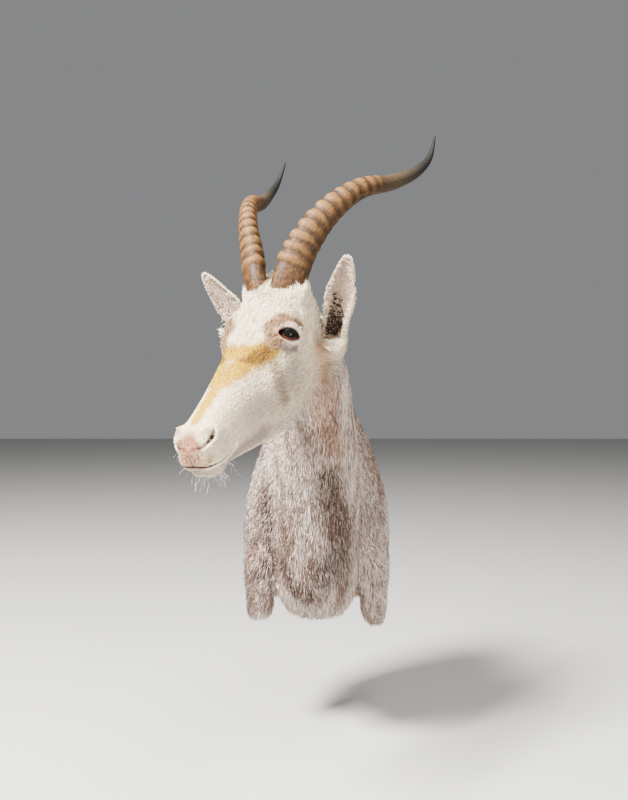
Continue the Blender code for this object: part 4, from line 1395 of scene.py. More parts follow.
def set_out(name, data, finish=None):
    """Puts a mesh, a lamp or a camera into the scene as an object, with its finish."""
    if finish:
        data.materials.append(finish)
    item = bpy.data.objects.new(name, data)
    bpy.context.scene.collection.objects.link(item)
    return item


def tuft_object(name, corners, place, shade, cup, finish):
    """One coat piece from the corners of its tufts."""
    count = len(corners)
    offsets = (np.arange(count) * TUFT_POINTS)[:, None, None]
    faces = (TUFT_FACES[None] + offsets).reshape(-1, 3)
    mesh = plain_mesh(name, corners.reshape(-1, 3), faces)
    mesh.polygons.foreach_set("use_smooth", np.ones(len(faces), bool))
    corner = np.tile(TUFT_FACES.ravel(), count)
    tuft = np.repeat(np.arange(count), TUFT_FACES.size)
    patch = np.column_stack((TUFT_ACROSS[corner], TUFT_ALONG[corner])) - 0.5
    uv = place[tuft] + TUFT_PATCH * patch
    layer = mesh.uv_layers.new(name="OFBake")
    layer.data.foreach_set("uv", uv.astype(np.float32).ravel())
    store(mesh, "shade", np.repeat(shade, TUFT_POINTS))
    store(mesh, "along", np.tile(TUFT_ALONG, count))
    store(mesh, "cup", np.repeat(cup, TUFT_POINTS))
    return set_out(name, mesh, finish)


def inner_ear_way(roots, facing, way, inside):
    """Inside the ear the hair stands out from the rims over the hollow."""
    q = to_head(roots)
    x = ear_places(q)[1]
    along, face, side, _ = ear_frame()
    across = -np.sign(x)[:, None] * side + 0.55 * face + 0.5 * along
    fold = np.where(q[:, 1:2] > 0, 1.0, -1.0)
    across[:, 1] *= fold[:, 0]
    world = across[:, :1] * HEAD_NOSE + across[:, 1:2] * HEAD_LEFT + across[:, 2:] * HEAD_TOP
    turned = on_surface(world, facing)
    return np.where(inside[:, None], turned, way)


def wavy(points, scale, seed):
    """Slow random numbers over space, from a few sine waves."""
    rng = np.random.default_rng(seed)
    total = np.zeros(len(points))
    for _ in range(6):
        wave = rng.normal(0, 1, 3)
        wave /= np.linalg.norm(wave)
        total += np.sin(points @ wave / scale * rng.uniform(0.6, 1.7) * 2 * np.pi
                        + rng.uniform(0, 6.28))
    return total / 6 ** 0.5


def swept(roots, facing, way, rng, head):
    """The lie of the coat with slow waves and a little scatter."""
    side = np.cross(facing, way)
    turn = 0.22 * wavy(roots, 60 if head else 90, 3)
    turn += 0.18 * wavy(roots, 16 if head else 22, 4)
    turn += rng.normal(0, 0.10, len(roots))
    turn = turn[:, None]
    return way * np.cos(turn) + side * np.sin(turn)


# Pieces


def applied(item):
    """The object with its modifiers turned into a plain mesh."""
    bpy.context.view_layer.update()
    graph = bpy.context.evaluated_depsgraph_get()
    mesh = bpy.data.meshes.new_from_object(item.evaluated_get(graph))
    mesh.name = item.name
    item.modifiers.clear()
    old = item.data
    item.data = mesh
    bpy.data.meshes.remove(old)
    return item


def smooth(item, merge=0.0):
    """Faces outwards and smooth, with doubles merged first."""
    bm = bmesh.new()
    bm.from_mesh(item.data)
    if merge:
        bmesh.ops.remove_doubles(bm, verts=bm.verts, dist=merge * MM)
    bmesh.ops.recalc_face_normals(bm, faces=bm.faces)
    for face in bm.faces:
        face.smooth = True
    bm.to_mesh(item.data)
    bm.free()
    return item


def settle_piece(item, nodes=()):
    """Tells the frame what a finished piece rides on and what it replaces."""
    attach(item, "root")
    if nodes:
        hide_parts(*nodes)
    return item


def path_object(name, points, closed=False, **values):
    """A line of points with numbers or directions stored on them."""
    mesh = bpy.data.meshes.new(name)
    count = len(points)
    edges = [(i, i + 1) for i in range(count - 1)]
    if closed:
        edges.append((count - 1, 0))
    mesh.from_pydata((np.asarray(points) * MM).tolist(), edges, [])
    for key, value in values.items():
        value = np.asarray(value, np.float32)
        kind = ("FLOAT", "value") if value.ndim == 1 else ("FLOAT_VECTOR", "vector")
        layer = mesh.attributes.new(key, kind[0], "POINT")
        layer.data.foreach_set(kind[1], value.ravel())
    return set_out(name, mesh)


def lid_line(side, count=64, out=0.9):
    """Places round the opening of the lids, in the part's frame, and directions outward."""
    look, long, up = eye_frame()
    turn = np.linspace(0, 2 * np.pi, count, endpoint=False)
    x = np.cos(turn) * EYE_HALF_LENGTH
    height = np.where(np.sin(turn) > 0, EYE_UPPER, EYE_LOWER)
    y = np.sign(np.sin(turn)) * height * np.abs(np.sin(turn)) ** 1.35
    z = np.sqrt(np.maximum((EYE_RADIUS + out) ** 2 - x**2 - y**2, 1))
    mirror = np.array((1, side, 1))
    at = EYE_CENTRE + x[:, None] * long + y[:, None] * up + z[:, None] * look
    away = (x / EYE_HALF_LENGTH * 0.5)[:, None] * long + np.sign(y)[:, None] * 0.75 * up
    away = away + 0.9 * look
    return from_head(at * mirror), from_head(away * mirror) - HEAD_AT, turn


def fine_eye(name, side, finish):
    """A round glass eye that knows how far each place lies from its middle."""
    mesh = bpy.data.meshes.new(name)
    bm = bmesh.new()
    bmesh.ops.create_uvsphere(bm, u_segments=64, v_segments=48, radius=EYE_RADIUS * MM)
    bm.to_mesh(mesh)
    bm.free()
    mirror = np.array((1, side, 1))
    centre = from_head(EYE_CENTRE * mirror)[0] * MM
    look = from_head(EYE_LOOK * mirror)[0] - HEAD_AT
    long = from_head(EYE_LONG * mirror)[0] - HEAD_AT
    look = unit(look)
    long = unit(long - look * (long @ look))
    turn = Vector(look).to_track_quat("Z", "Y").to_matrix().to_4x4()
    mesh.transform(Matrix.Translation(Vector(centre)) @ turn)
    points = np.empty(len(mesh.vertices) * 3)
    mesh.vertices.foreach_get("co", points)
    d = (points.reshape(-1, 3) - centre) / (EYE_RADIUS * MM)
    for key, value in (("across", d @ long), ("high", d @ np.cross(look, long))):
        behind = np.where(d @ look < 0, 2.0, 1.0)
        store(mesh, key, value * behind)
    for face in mesh.polygons:
        face.use_smooth = True
    return set_out(name, mesh, finish)


def hair_roots(rng, centre, spread, count, way, scatter_way, low, high):
    """Roots on both sides of the head with their directions and lengths."""
    roots = np.array(centre) + rng.normal(0, 1, (count, 3)) * spread
    side = np.where(rng.random(count) > 0.5, 1.0, -1.0)[:, None]
    mirror = np.column_stack((np.ones(count), side[:, 0], np.ones(count)))
    roots[:, 1] = np.abs(roots[:, 1])
    ways = np.array(way) + rng.normal(0, scatter_way, (count, 3))
    at = settle(skin_field, from_head(roots * mirror), 6.0, 5)
    return at, from_head(ways * mirror) - HEAD_AT, rng.uniform(low, high, count)


def skin_finish(look):
    """The skin: painted shade under the hair, moist at the nose."""
    item, bench, shader = surface("skin_coat", 0.72, Specular_IOR_Level=0.3)
    colour, streak, p, q, head = coat_colour(bench, look)
    # painted shade: the skin darker where the hair grows over it
    under_coat_shade = bench.stored("under_coat_shade")
    tint = bench.node("ShaderNodeCombineXYZ", None,
                      {0: 1.0 - 0.38 * under_coat_shade, 1: 1.0 - 0.43 * under_coat_shade, 2: 1.0 - 0.47 * under_coat_shade})
    feed(bench, bench.vector("MULTIPLY", colour, tint), shader, "Base Color")
    fine = strands(bench, p, q, head, 2.2)
    relief = streak * 0.6 + fine * 0.4
    feed(bench, bump(bench, relief, 0.0012, 0.8), shader, "Normal")
    rough = 0.85 - 0.40 * spot(bench, q, (226, 0, -16), (24, 26, 22), 0.4)
    feed(bench, rough, shader, "Roughness")
    return item


def tuft_finish(look, name, shine=0.62):
    """Hair in the colour of its place, each tuft a little lighter or darker."""
    item, bench, shader = surface(name, shine, Specular_IOR_Level=0.2)
    colour = coat_colour(bench, look)[0]
    shade = bench.stored("shade")
    along = bench.stored("along")
    deep = 1.0 - shade
    # painted shade: each tuft darker at its root, lighter towards its tip
    level = 0.94 + 0.16 * along
    tint = bench.node("ShaderNodeCombineXYZ", None,
                      {0: level - 0.60 * deep, 1: level - 0.67 * deep,
                       2: level - 0.72 * deep})
    feed(bench, bench.vector("MULTIPLY", colour, tint), shader, "Base Color")
    return item


def horn_finish(look):
    """Tan rings over brown, turning to near black at the smooth tip."""
    item, bench, shader = surface("ringed_horn", 0.5, Specular_IOR_Level=0.22)
    share = bench.stored("share")
    ring = bench.stored("ring")
    p = frame_place(bench)
    fine = bench.noise(bench.vector("MULTIPLY", p, (0.16, 0.16, 0.16)), 1.0, 4.0, 0.65)
    long = bench.noise(bench.vector("MULTIPLY", p, (0.5, 0.12, 0.5)), 1.0, 3.0, 0.6)
    low = bench.step(share, 0.16, 0.06)
    base = bench.mix(bench.step(fine, 0.35, 0.7) * (0.3 + 0.7 * low), lift(look.brown),
                     lift(look.red_brown))
    crest = bench.mix(bench.step(long, 0.3, 0.75), lift(look.tan), lift(look.tan_light))
    colour = bench.mix(bench.step(ring + fine * 0.3, 0.18, 0.80), base, crest)
    edge = bench.stored("edge")
    grain = bench.node("ShaderNodeCombineXYZ", None, {0: edge * 46.0, 1: share * 14.0})
    grain = bench.noise(grain, 1.0, 3.0, 0.6)
    colour = bench.mix(bench.step(grain, 0.54, 0.66) * 0.55, colour, lift(look.brown))
    # pale streaks along the grain, in part a painted sheen
    colour = bench.mix(bench.step(grain, 0.46, 0.34) * 0.35, colour, lift(look.tan_light))
    smooth_part = bench.mix(bench.step(fine + long * 0.4, 0.4, 1.1) * 0.5, lift(look.grey),
                            lift(look.tan))
    colour = bench.mix(bench.step(share, 0.50, 0.64), colour, smooth_part)
    colour = bench.mix(bench.step(share, 0.62, 0.84), colour, lift(look.tip))
    feed(bench, colour, shader, "Base Color")
    feed(bench, 0.44 + 0.30 * fine - 0.12 * bench.step(share, 0.6, 0.9), shader, "Roughness")
    feed(bench, bump(bench, long * 0.6 + fine * 0.4, 0.0006, 0.7), shader, "Normal")
    return item


# Geometry node trees for horns, hairs and lid rims


def new_tree(name, inputs):
    """An empty tree with named inputs, its bench, its input wires and its last socket."""
    tree = bpy.data.node_groups.new(name, "GeometryNodeTree")
    tree.interface.new_socket("Geometry", in_out="INPUT", socket_type="NodeSocketGeometry")
    for label, kind, value in inputs:
        socket = tree.interface.new_socket(label, in_out="INPUT", socket_type=kind)
        if value is not None:
            socket.default_value = value
    tree.interface.new_socket("Geometry", in_out="OUTPUT", socket_type="NodeSocketGeometry")
    bench = Bench(tree)
    start = tree.nodes.new("NodeGroupInput")
    end = tree.nodes.new("NodeGroupOutput")
    wires = {socket.name: Wire(bench, socket) for socket in start.outputs if socket.name}
    return tree, bench, wires, end


def close_tree(bench, shape, finish, end):
    """Ends a tree in real geometry with its material."""
    shape = bench.node("GeometryNodeRealizeInstances", None, {0: shape})
    shape = bench.node("GeometryNodeSetMaterial", None,
                       {"Geometry": shape, "Material": finish})
    bench.tree.links.new(shape.socket, end.inputs[0])


def grow(item, tree, **values):
    """Runs a tree on an object and keeps the result as a plain mesh."""
    modifier = item.modifiers.new(tree.name, "NODES")
    modifier.node_group = tree
    for socket in tree.interface.items_tree:
        key = socket.name.lower().replace(" ", "_")
        if socket.in_out == "INPUT" and key in values:
            modifier[socket.identifier] = values[key]
    return applied(item)


def horn_tree():
    """A horn round a line: rings, grain and a smooth closed tip."""
    number = "NodeSocketFloat"
    tree, bench, wires, end = new_tree("Ringed horn", (
        ("Material", "NodeSocketMaterial", None),
        ("Rows", "NodeSocketInt", 300),
        ("Sides", "NodeSocketInt", 37),
        ("Rings", number, float(HORN_RINGS)),
        ("First ring", number, HORN_FIRST_RING),
        ("Last ring", number, HORN_LAST_RING),
        ("Ring height", number, HORN_RING_HEIGHT * MM),
        ("Grain height", number, 0.00022),
        ("Turn", number, float(HORN_LONG_TURN)),
        ("Side", number, 1.0),
        ("Front", "NodeSocketVector", (0.0, -1.0, 0.0)),
    ))
    path = bench.node("GeometryNodeMeshToCurve", None, {0: wires["Geometry"]})
    grid = bench.node("GeometryNodeMeshGrid", None,
                      {"Size X": 1.0, "Size Y": 1.0, "Vertices X": wires["Rows"],
                       "Vertices Y": wires["Sides"]})
    place = bench.node("GeometryNodeInputPosition")
    split = bench.node("ShaderNodeSeparateXYZ", None, {0: place})
    share = split + 0.5
    turn = (Wire(bench, split.socket.node.outputs[1]) + 0.5) * (2 * np.pi)
    sampled = {}
    for label in ("long", "short"):
        width = bench.node("GeometryNodeInputNamedAttribute", {"data_type": "FLOAT"},
                           {"Name": label})
        sampled[label] = bench.node("GeometryNodeSampleCurve", {"use_all_curves": True},
                                    {"Curves": path, "Value": width, "Factor": share})
    centre = Wire(bench, sampled["long"].socket.node.outputs["Position"])
    tangent = Wire(bench, sampled["long"].socket.node.outputs["Tangent"])
    long, short = sampled["long"], sampled["short"]

    front = wires["Front"]
    part = bench.scaled(tangent, bench.dot(front, tangent))
    front = bench.vector("NORMALIZE", bench.vector("SUBTRACT", front, part))
    across = bench.vector("CROSS_PRODUCT", tangent, front)

    wander = bench.node("ShaderNodeCombineXYZ", None,
                        {0: share * 30.0, 1: bench.call("COSINE", turn),
                         2: bench.call("SINE", turn)})
    uneven = bench.noise(wander, 1.0, 2.0) - 0.5
    span = wires["Last ring"] - wires["First ring"]
    phase = (share - wires["First ring"]) / span * wires["Rings"] + uneven * 0.55
    rise = bench.held(phase * 2.0)
    fall = bench.held((wires["Rings"] - phase) * 1.2)
    wave = (0.5 + 0.5 * bench.call("COSINE", (phase - 0.5) * (2 * np.pi))) ** 0.85
    edge = 0.5 + 0.5 * bench.call("COSINE", turn + 0.75)
    edge = 0.25 + 0.75 * bench.call("MAXIMUM", edge, 0.0) ** 1.2
    ring = wave * rise * fall * edge
    fade = bench.step(long, 10 * MM, 22 * MM)
    grain = bench.node("ShaderNodeCombineXYZ", None,
                       {0: share * 9.0, 1: bench.call("COSINE", turn) * 7.0,
                        2: bench.call("SINE", turn) * 7.0})
    grain = bench.noise(grain, 1.0, 3.0) - 0.5

    one = bench.call("COSINE", turn + wires["Turn"]) / long
    two = bench.call("SINE", turn + wires["Turn"]) / short
    reach = 1.0 / bench.call("SQRT", one * one + two * two)
    reach = reach - 0.0012 * fade + wires["Ring height"] * ring * fade
    reach = reach + grain * wires["Grain height"] * 4.0 * (0.25 + 0.75 * fade)
    inner = bench.call("GREATER_THAN", share, 0.0001)
    outer = bench.call("LESS_THAN", share, 0.9999)
    reach = reach * inner * outer
    forward = bench.scaled(front, reach * bench.call("COSINE", turn))
    sideways = bench.scaled(across, reach * bench.call("SINE", turn) * wires["Side"])
    tip = bench.scaled(tangent, (1.0 - outer) * 0.0022)
    spot_at = bench.vector("ADD", centre, bench.vector("ADD", forward, sideways))
    spot_at = bench.vector("ADD", spot_at, tip)

    shape = grid
    for name, value in (("share", share), ("ring", ring), ("edge", edge)):
        shape = bench.node("GeometryNodeStoreNamedAttribute", {"data_type": "FLOAT"},
                           {"Geometry": shape, "Name": name, "Value": value})
    shape = bench.node("GeometryNodeSetPosition", None,
                       {"Geometry": shape, "Position": spot_at})
    shape = bench.node("GeometryNodeMergeByDistance", None,
                       {"Geometry": shape, "Distance": 0.00002})
    close_tree(bench, shape, wires["Material"], end)
    return tree


def hair_tree():
    """Single bent and pointed hairs, one on each root."""
    number = "NodeSocketFloat"
    tree, bench, wires, end = new_tree("Single hairs", (
        ("Material", "NodeSocketMaterial", None),
        ("Thickness", number, 0.008),
        ("Bend", number, 0.2),
        ("Steps", "NodeSocketInt", 7),
        ("Sides", "NodeSocketInt", 4),
        ("Seed", "NodeSocketInt", 5),
    ))
    line = bench.node("GeometryNodeCurvePrimitiveLine", None,
                      {"Start": (0.0, 0.0, 0.0), "End": (0.0, 0.0, 1.0)})
    line = bench.node("GeometryNodeResampleCurve", None,
                      {"Curve": line, "Count": wires["Steps"]})
    share = bench.node("GeometryNodeSplineParameter", output="Factor")
    sag = bench.node("ShaderNodeCombineXYZ", None, {1: share * share * wires["Bend"]})
    line = bench.node("GeometryNodeSetPosition", None, {"Geometry": line, "Offset": sag})
    line = bench.node("GeometryNodeSetCurveRadius", None,
                      {"Curve": line, "Radius": 1.0 - 0.9 * share})
    ring = bench.node("GeometryNodeCurvePrimitiveCircle", None,
                      {"Resolution": wires["Sides"], "Radius": wires["Thickness"]})
    hair = bench.node("GeometryNodeCurveToMesh", None,
                      {"Curve": line, "Profile Curve": ring, "Fill Caps": True})
    way = bench.node("GeometryNodeInputNamedAttribute", {"data_type": "FLOAT_VECTOR"},
                     {"Name": "way"})
    span = bench.node("GeometryNodeInputNamedAttribute", {"data_type": "FLOAT"},
                      {"Name": "span"})
    aim = bench.node("FunctionNodeAlignRotationToVector", {"axis": "Z"}, {"Vector": way})
    spin = bench.node("FunctionNodeRandomValue", {"data_type": "FLOAT"},
                      {2: -0.9, 3: 0.9, "Seed": wires["Seed"]}, 1)
    spin = bench.node("FunctionNodeAxisAngleToRotation", None,
                      {"Axis": (0.0, 0.0, 1.0), "Angle": spin})
    turned = bench.node("FunctionNodeRotateRotation", {"rotation_space": "LOCAL"},
                        {"Rotation": aim, "Rotate By": spin})
    size = bench.node("ShaderNodeCombineXYZ", None, {0: span, 1: span, 2: span})
    shape = bench.node("GeometryNodeInstanceOnPoints", None,
                       {"Points": wires["Geometry"], "Instance": hair, "Rotation": turned,
                        "Scale": size})
    close_tree(bench, shape, wires["Material"], end)
    return tree


def rim_tree():
    """A round rim along the line of the lids."""
    tree, bench, wires, end = new_tree("Lid rim", (
        ("Material", "NodeSocketMaterial", None),
        ("Thickness", "NodeSocketFloat", 0.0011),
        ("Sides", "NodeSocketInt", 10),
    ))
    path = bench.node("GeometryNodeMeshToCurve", None, {0: wires["Geometry"]})
    ring = bench.node("GeometryNodeCurvePrimitiveCircle", None,
                      {"Resolution": wires["Sides"], "Radius": wires["Thickness"]})
    tube = bench.node("GeometryNodeCurveToMesh", None,
                      {"Curve": path, "Profile Curve": ring})
    close_tree(bench, tube, wires["Material"], end)
    return tree


# Sizes and colours


class CoatLook(PropertyGroup):
    """Lengths and colours of the coat."""

    body_tufts: IntProperty(name="Body tufts", default=78000, min=100,
                            description="Tufts on the neck, shoulders and leg stumps")
    head_tufts: IntProperty(name="Head tufts", default=44000, min=100,
                            description="Tufts on the head and ears")
    length: FloatProperty(name="Length", default=1.0, min=0.2, max=2.0, subtype="FACTOR",
                          description="Length of the hair, as a share of the usual one")
    face_white: FloatVectorProperty(name="Face white", subtype="COLOR",
                                    default=(0.93, 0.885, 0.70),
                                    description="Brightest hair of the face")
    face_cream: FloatVectorProperty(name="Face cream", subtype="COLOR",
                                    default=(0.64, 0.53, 0.37),
                                    description="Hair between the brightest strands")
    body_pale: FloatVectorProperty(name="Body pale", subtype="COLOR",
                                   default=(0.72, 0.62, 0.555),
                                   description="Pale hair of the neck and shoulders")
    body_warm: FloatVectorProperty(name="Body warm", subtype="COLOR",
                                   default=(0.46, 0.34, 0.285),
                                   description="Pinkish hair of the neck and shoulders")
    # dark strands of the coat; the same colour is the painted shade along the neck crease
    body_streak: FloatVectorProperty(name="Body streak", subtype="COLOR",
                                     default=(0.085, 0.046, 0.034),
                                     description="Dark strands of the neck and shoulders")
    body_brown: FloatVectorProperty(name="Body brown", subtype="COLOR",
                                    default=(0.10, 0.055, 0.042),
                                    description="Brown patches beside the breast")
    body_dark: FloatVectorProperty(name="Body dark", subtype="COLOR",
                                   default=(0.060, 0.037, 0.031),
                                   description="Darkest patch low on the breast")
    body_peach: FloatVectorProperty(name="Body peach", subtype="COLOR",
                                    default=(0.47, 0.26, 0.155),
                                    description="Peach tan under the ear and down the throat")
    stain_gold: FloatVectorProperty(name="Golden stain", subtype="COLOR",
                                    default=(0.47, 0.29, 0.0015),
                                    description="Stain across the bridge of the nose")
    stain_tan: FloatVectorProperty(name="Tan streak", subtype="COLOR",
                                   default=(0.15, 0.070, 0.002),
                                   description="Streak down the cheek")
    eye_brown: FloatVectorProperty(name="Brown round the eye", subtype="COLOR",
                                   default=(0.23, 0.135, 0.072),
                                   description="Hair before and above the eye")
    eye_grey: FloatVectorProperty(name="Grey under the eye", subtype="COLOR",
                                  default=(0.27, 0.21, 0.19),
                                  description="Hair under the eye")
    # painted shade on the cheek, under the jaw and on the chin
    jaw_painted_shade: FloatVectorProperty(name="Jaw shade", subtype="COLOR",
                                   default=(0.34, 0.28, 0.25),
                                   description="Hair on the underside of the jaw")
    nose_pink: FloatVectorProperty(name="Nose pink", subtype="COLOR",
                                   default=(0.21, 0.075, 0.038),
                                   description="Bare skin of the nose")
    lip_tan: FloatVectorProperty(name="Lip tan", subtype="COLOR",
                                 default=(0.27, 0.165, 0.085),
                                 description="Hair and skin of the lips")
    ear_pink: FloatVectorProperty(name="Ear pink", subtype="COLOR",
                                  default=(0.52, 0.38, 0.33),
                                  description="Inside of the ear near its rim")
    # painted shade in the hollow of the ear and before its root
    ear_dark: FloatVectorProperty(name="Ear dark", subtype="COLOR",
                                  default=(0.018, 0.008, 0.006),
                                  description="Hollow of the ear")
    mouth_dark: FloatVectorProperty(name="Mouth line", subtype="COLOR",
                                    default=(0.09, 0.035, 0.02),
                                    description="Dark parting of the lips")
    nostril_red: FloatVectorProperty(name="Nostril red", subtype="COLOR",
                                     default=(0.16, 0.045, 0.025),
                                     description="Inner rim of the nostril")
    # painted shade in the depth of the nostril
    nostril_painted_shade: FloatVectorProperty(name="Nostril dark", subtype="COLOR",
                                      default=(0.030, 0.008, 0.006),
                                      description="Depth of the nostril")


class EyeLook(PropertyGroup):
    """Glass eyes and the rims of their lids."""

    iris: FloatVectorProperty(name="Iris", subtype="COLOR", default=(0.032, 0.009, 0.004),
                              description="Colour of the iris")
    rim: FloatVectorProperty(name="Lid rim", subtype="COLOR", default=(0.018, 0.010, 0.008),
                             description="Colour of the bare rim of the lids")
    rim_thickness: FloatProperty(name="Rim thickness", default=0.0015, unit="LENGTH",
                                 description="Half thickness of the rim of the lids")


class HornLook(PropertyGroup):
    """Rings and colours of the horns."""

    rings: IntProperty(name="Rings", default=HORN_RINGS, min=1, max=30,
                       description="Number of rings on each horn")
    ring_height: FloatProperty(name="Ring height", default=HORN_RING_HEIGHT * MM,
                               unit="LENGTH", description="Height of a ring at its front")
    tan: FloatVectorProperty(name="Ring tan", subtype="COLOR", default=(0.062, 0.026, 0.0055),
                             description="Crests of the rings")
    tan_light: FloatVectorProperty(name="Light tan", subtype="COLOR",
                                   default=(0.15, 0.075, 0.024),
                                   description="Lightest worn crests")
    brown: FloatVectorProperty(name="Brown", subtype="COLOR", default=(0.017, 0.0072, 0.002),
                               description="Between the rings")
    red_brown: FloatVectorProperty(name="Red brown", subtype="COLOR",
                                   default=(0.080, 0.034, 0.008),
                                   description="Reddish parts between the rings")
    grey: FloatVectorProperty(name="Olive grey", subtype="COLOR",
                              default=(0.025, 0.020, 0.012),
                              description="Smooth part beyond the rings")
    tip: FloatVectorProperty(name="Tip", subtype="COLOR", default=(0.006, 0.006, 0.005),
                             description="Near black tip")


class StageLook(PropertyGroup):
    """Floor and light."""

    floor: FloatVectorProperty(name="Floor", subtype="COLOR", default=(0.40, 0.40, 0.395),
                               description="Colour of the floor")
    floor_height: FloatProperty(name="Floor height", default=-0.46, unit="LENGTH",
                                description="Height of the floor under the mount")
    lamp: FloatVectorProperty(name="Lamp", subtype="COLOR", default=(1.0, 0.965, 0.91),
                              description="Colour of the lamps")
    light: FloatProperty(name="Light", default=1.0, min=0.0, subtype="FACTOR",
                         description="Strength of all lights together")


# Operators


class BLESBOK_OT_skin(Operator):
    """Makes the one skin that takes the place of head, ears, neck, shoulders and legs"""

    bl_idname = "blesbok.skin"
    bl_label = "Skin"

    def execute(self, context):
        look = context.scene.blesbok_coat
        points, faces = skin_mesh()
        mesh = plain_mesh("skin", points, faces)
        mesh.validate()
        item = set_out("skin", mesh, skin_finish(look))
        fewer = item.modifiers.new("fewer", "DECIMATE")
        fewer.ratio = SKIN_KEPT_SHARE
        applied(item)
        for face in item.data.polygons:
            face.use_smooth = True
        points = np.empty(len(item.data.vertices) * 3)
        item.data.vertices.foreach_get("co", points)
        points = points.reshape(-1, 3) / MM
        store(item.data, "cup", cup_share(points))
        facing = np.empty(points.size)
        item.data.vertex_normals.foreach_get("vector", facing)
        # where hair grows, for the painted shade on the skin under the coat
        store(item.data, "under_coat_shade", coat_plan(points, facing.reshape(-1, 3))[3])
        settle_piece(item, FLESH_NODES)
        return {"FINISHED"}


class BLESBOK_OT_coat(Operator):
    """Covers the skin with tufts of hair"""

    bl_idname = "blesbok.coat"
    bl_label = "Coat"

    def execute(self, context):
        look = context.scene.blesbok_coat
        rng = np.random.default_rng(SEED)
        corners, normals, area = triangles_of(bpy.data.objects["skin"])
        middle = corners.mean(1)
        facing = normals.mean(1)
        facing /= np.linalg.norm(facing, axis=1, keepdims=True) + 1e-9
        plan = coat_plan(middle, facing)
        grows, body, is_ear, around = plan[3], plan[4], plan[5], plan[7]
        on_body = body > 0.5
        weight_body = grows * on_body
        weight_head = grows * ~on_body * (1 + 1.6 * is_ear + 3.0 * around)
        sheets = (("coat_body", weight_body, look.body_tufts, False, BODY_PIECES),
                  ("coat_head", weight_head, look.head_tufts, True, HEAD_PIECES))
        for name, weight, count, head, pieces in sheets:
            finish = tuft_finish(look, name)
            roots, face = scatter(corners, normals, area, weight, count, rng)
            length, width, rise, _, _, _, inside, around = coat_plan(roots, face)
            way = lie(roots, face)
            if head:
                way = inner_ear_way(roots, face, way, inside)
                length = length + INNER_EAR_HAIR_MORE * inside
            length = length * look.length * rng.uniform(0.65, 1.25, count)
            width = width * rng.uniform(0.7, 1.25, count)
            rise = rise * rng.uniform(0.3, 1.6, count)
            droop = rng.uniform(0.45, 0.95, count)
            way = swept(roots, face, way, rng, head)
            length = clear_of_eye(roots, way, length)
            tufts = tuft_arrays(roots, face, way, length, width, rise, droop, rng)
            tufts[:, :, 1] = np.minimum(tufts[:, :, 1], -WALL_ROOM)
            shade = np.where(rng.random(count) < DARK_TUFT_SHARE,
                             rng.beta(1.5, 4.0, count), rng.beta(5.0, 1.8, count))
            pale = rng.random(count) < EAR_PALE_SHARE
            cup = cup_share(roots) * np.where(pale, EAR_PALE_CUP, 1.0)
            place = unwrap(roots, head)
            order = np.argsort(roots[:, 2] if not head else roots[:, 0], kind="stable")
            for number, part in enumerate(np.array_split(order, pieces)):
                item = tuft_object(f"{name}_{number + 1}", tufts[part], place[part],
                                   shade[part], cup[part], finish)
                settle_piece(item)
        return {"FINISHED"}


class BLESBOK_OT_horns(Operator):
    """Makes both ringed horns along their curves"""

    bl_idname = "blesbok.horns"
    bl_label = "Horns"

    def execute(self, context):
        look = context.scene.blesbok_horns
        finish = horn_finish(look)
        tree = horn_tree()
        gaps = np.linalg.norm(np.diff(HORN_KEYS[:, :3], axis=0), axis=1)
        stations = np.concatenate(([0], np.cumsum(gaps)))
        keys = np.column_stack((stations, HORN_KEYS))
        values = lookup(keys, np.linspace(0, 1, 120) * stations[-1])
        front = from_head(HORN_FRONT)[0] - HEAD_AT
        for side, name in ((1, "horn_left"), (-1, "horn_right")):
            line = from_head(values[:3].T * np.array((1, side, 1)))
            item = path_object(name + "_ringed", line, long=values[3] * MM,
                               short=values[4] * MM)
            grow(item, tree, material=finish, rings=float(look.rings),
                 ring_height=look.ring_height, side=float(side), front=tuple(front))
            smooth(item, 0.01)
            settle_piece(item, (name,))
        return {"FINISHED"}


class BLESBOK_OT_eyes(Operator):
    """Makes the glass eyes and the dark rims of their lids"""

    bl_idname = "blesbok.eyes"
    bl_label = "Eyes"

    def execute(self, context):
        look = context.scene.blesbok_eyes
        glass, bench, shader = surface("eye_glass", 0.03, IOR=1.16)
        across = bench.stored("across")
        high = bench.stored("high")
        reach = bench.call("SQRT", across * across + high * high)
        pupil = (across / PUPIL_HALF[0]) ** 2.0 + (high / PUPIL_HALF[1]) ** 2.0
        pupil = bench.call("SQRT", pupil)
        spokes = bench.noise(bench.node("ShaderNodeCombineXYZ", None,
                                        {0: across / (reach + 0.01) * 6.0,
                                         1: high / (reach + 0.01) * 6.0,
                                         2: reach * 1.5}), 1.0, 3.0)
        iris = bench.mix(spokes, lift(look.iris), lift([c * 2.4 for c in look.iris]))
        iris = bench.mix(bench.step(high, -0.30, 0.12), iris, EYE_SHADED)
        iris = bench.mix(bench.step(pupil, 1.12, 0.88), iris, PUPIL_BLACK)
        colour = bench.mix(bench.step(reach, 0.80, 0.90), iris, EYE_BORDER)
        feed(bench, colour, shader, "Base Color")
        rim, bench, shader = surface("lid_rim", 0.4)
        p = frame_place(bench)
        tone = bench.noise(p, 0.4, 3.0)
        feed(bench, bench.mix(tone, lift(look.rim), lift([c * 2.2 for c in look.rim])),
             shader, "Base Color")
        feed(bench, bump(bench, tone, 0.0004), shader, "Normal")
        tree = rim_tree()
        for side, name in ((1, "eye_left"), (-1, "eye_right")):
            ball_item = fine_eye(name + "_glass", side, glass)
            settle_piece(ball_item, (name,))
            line, _, _ = lid_line(side)
            item = path_object(name.replace("eye", "lid_rim"), line, closed=True)
            grow(item, tree, material=rim, thickness=look.rim_thickness)
            smooth(item, 0.005)
            settle_piece(item)
        return {"FINISHED"}


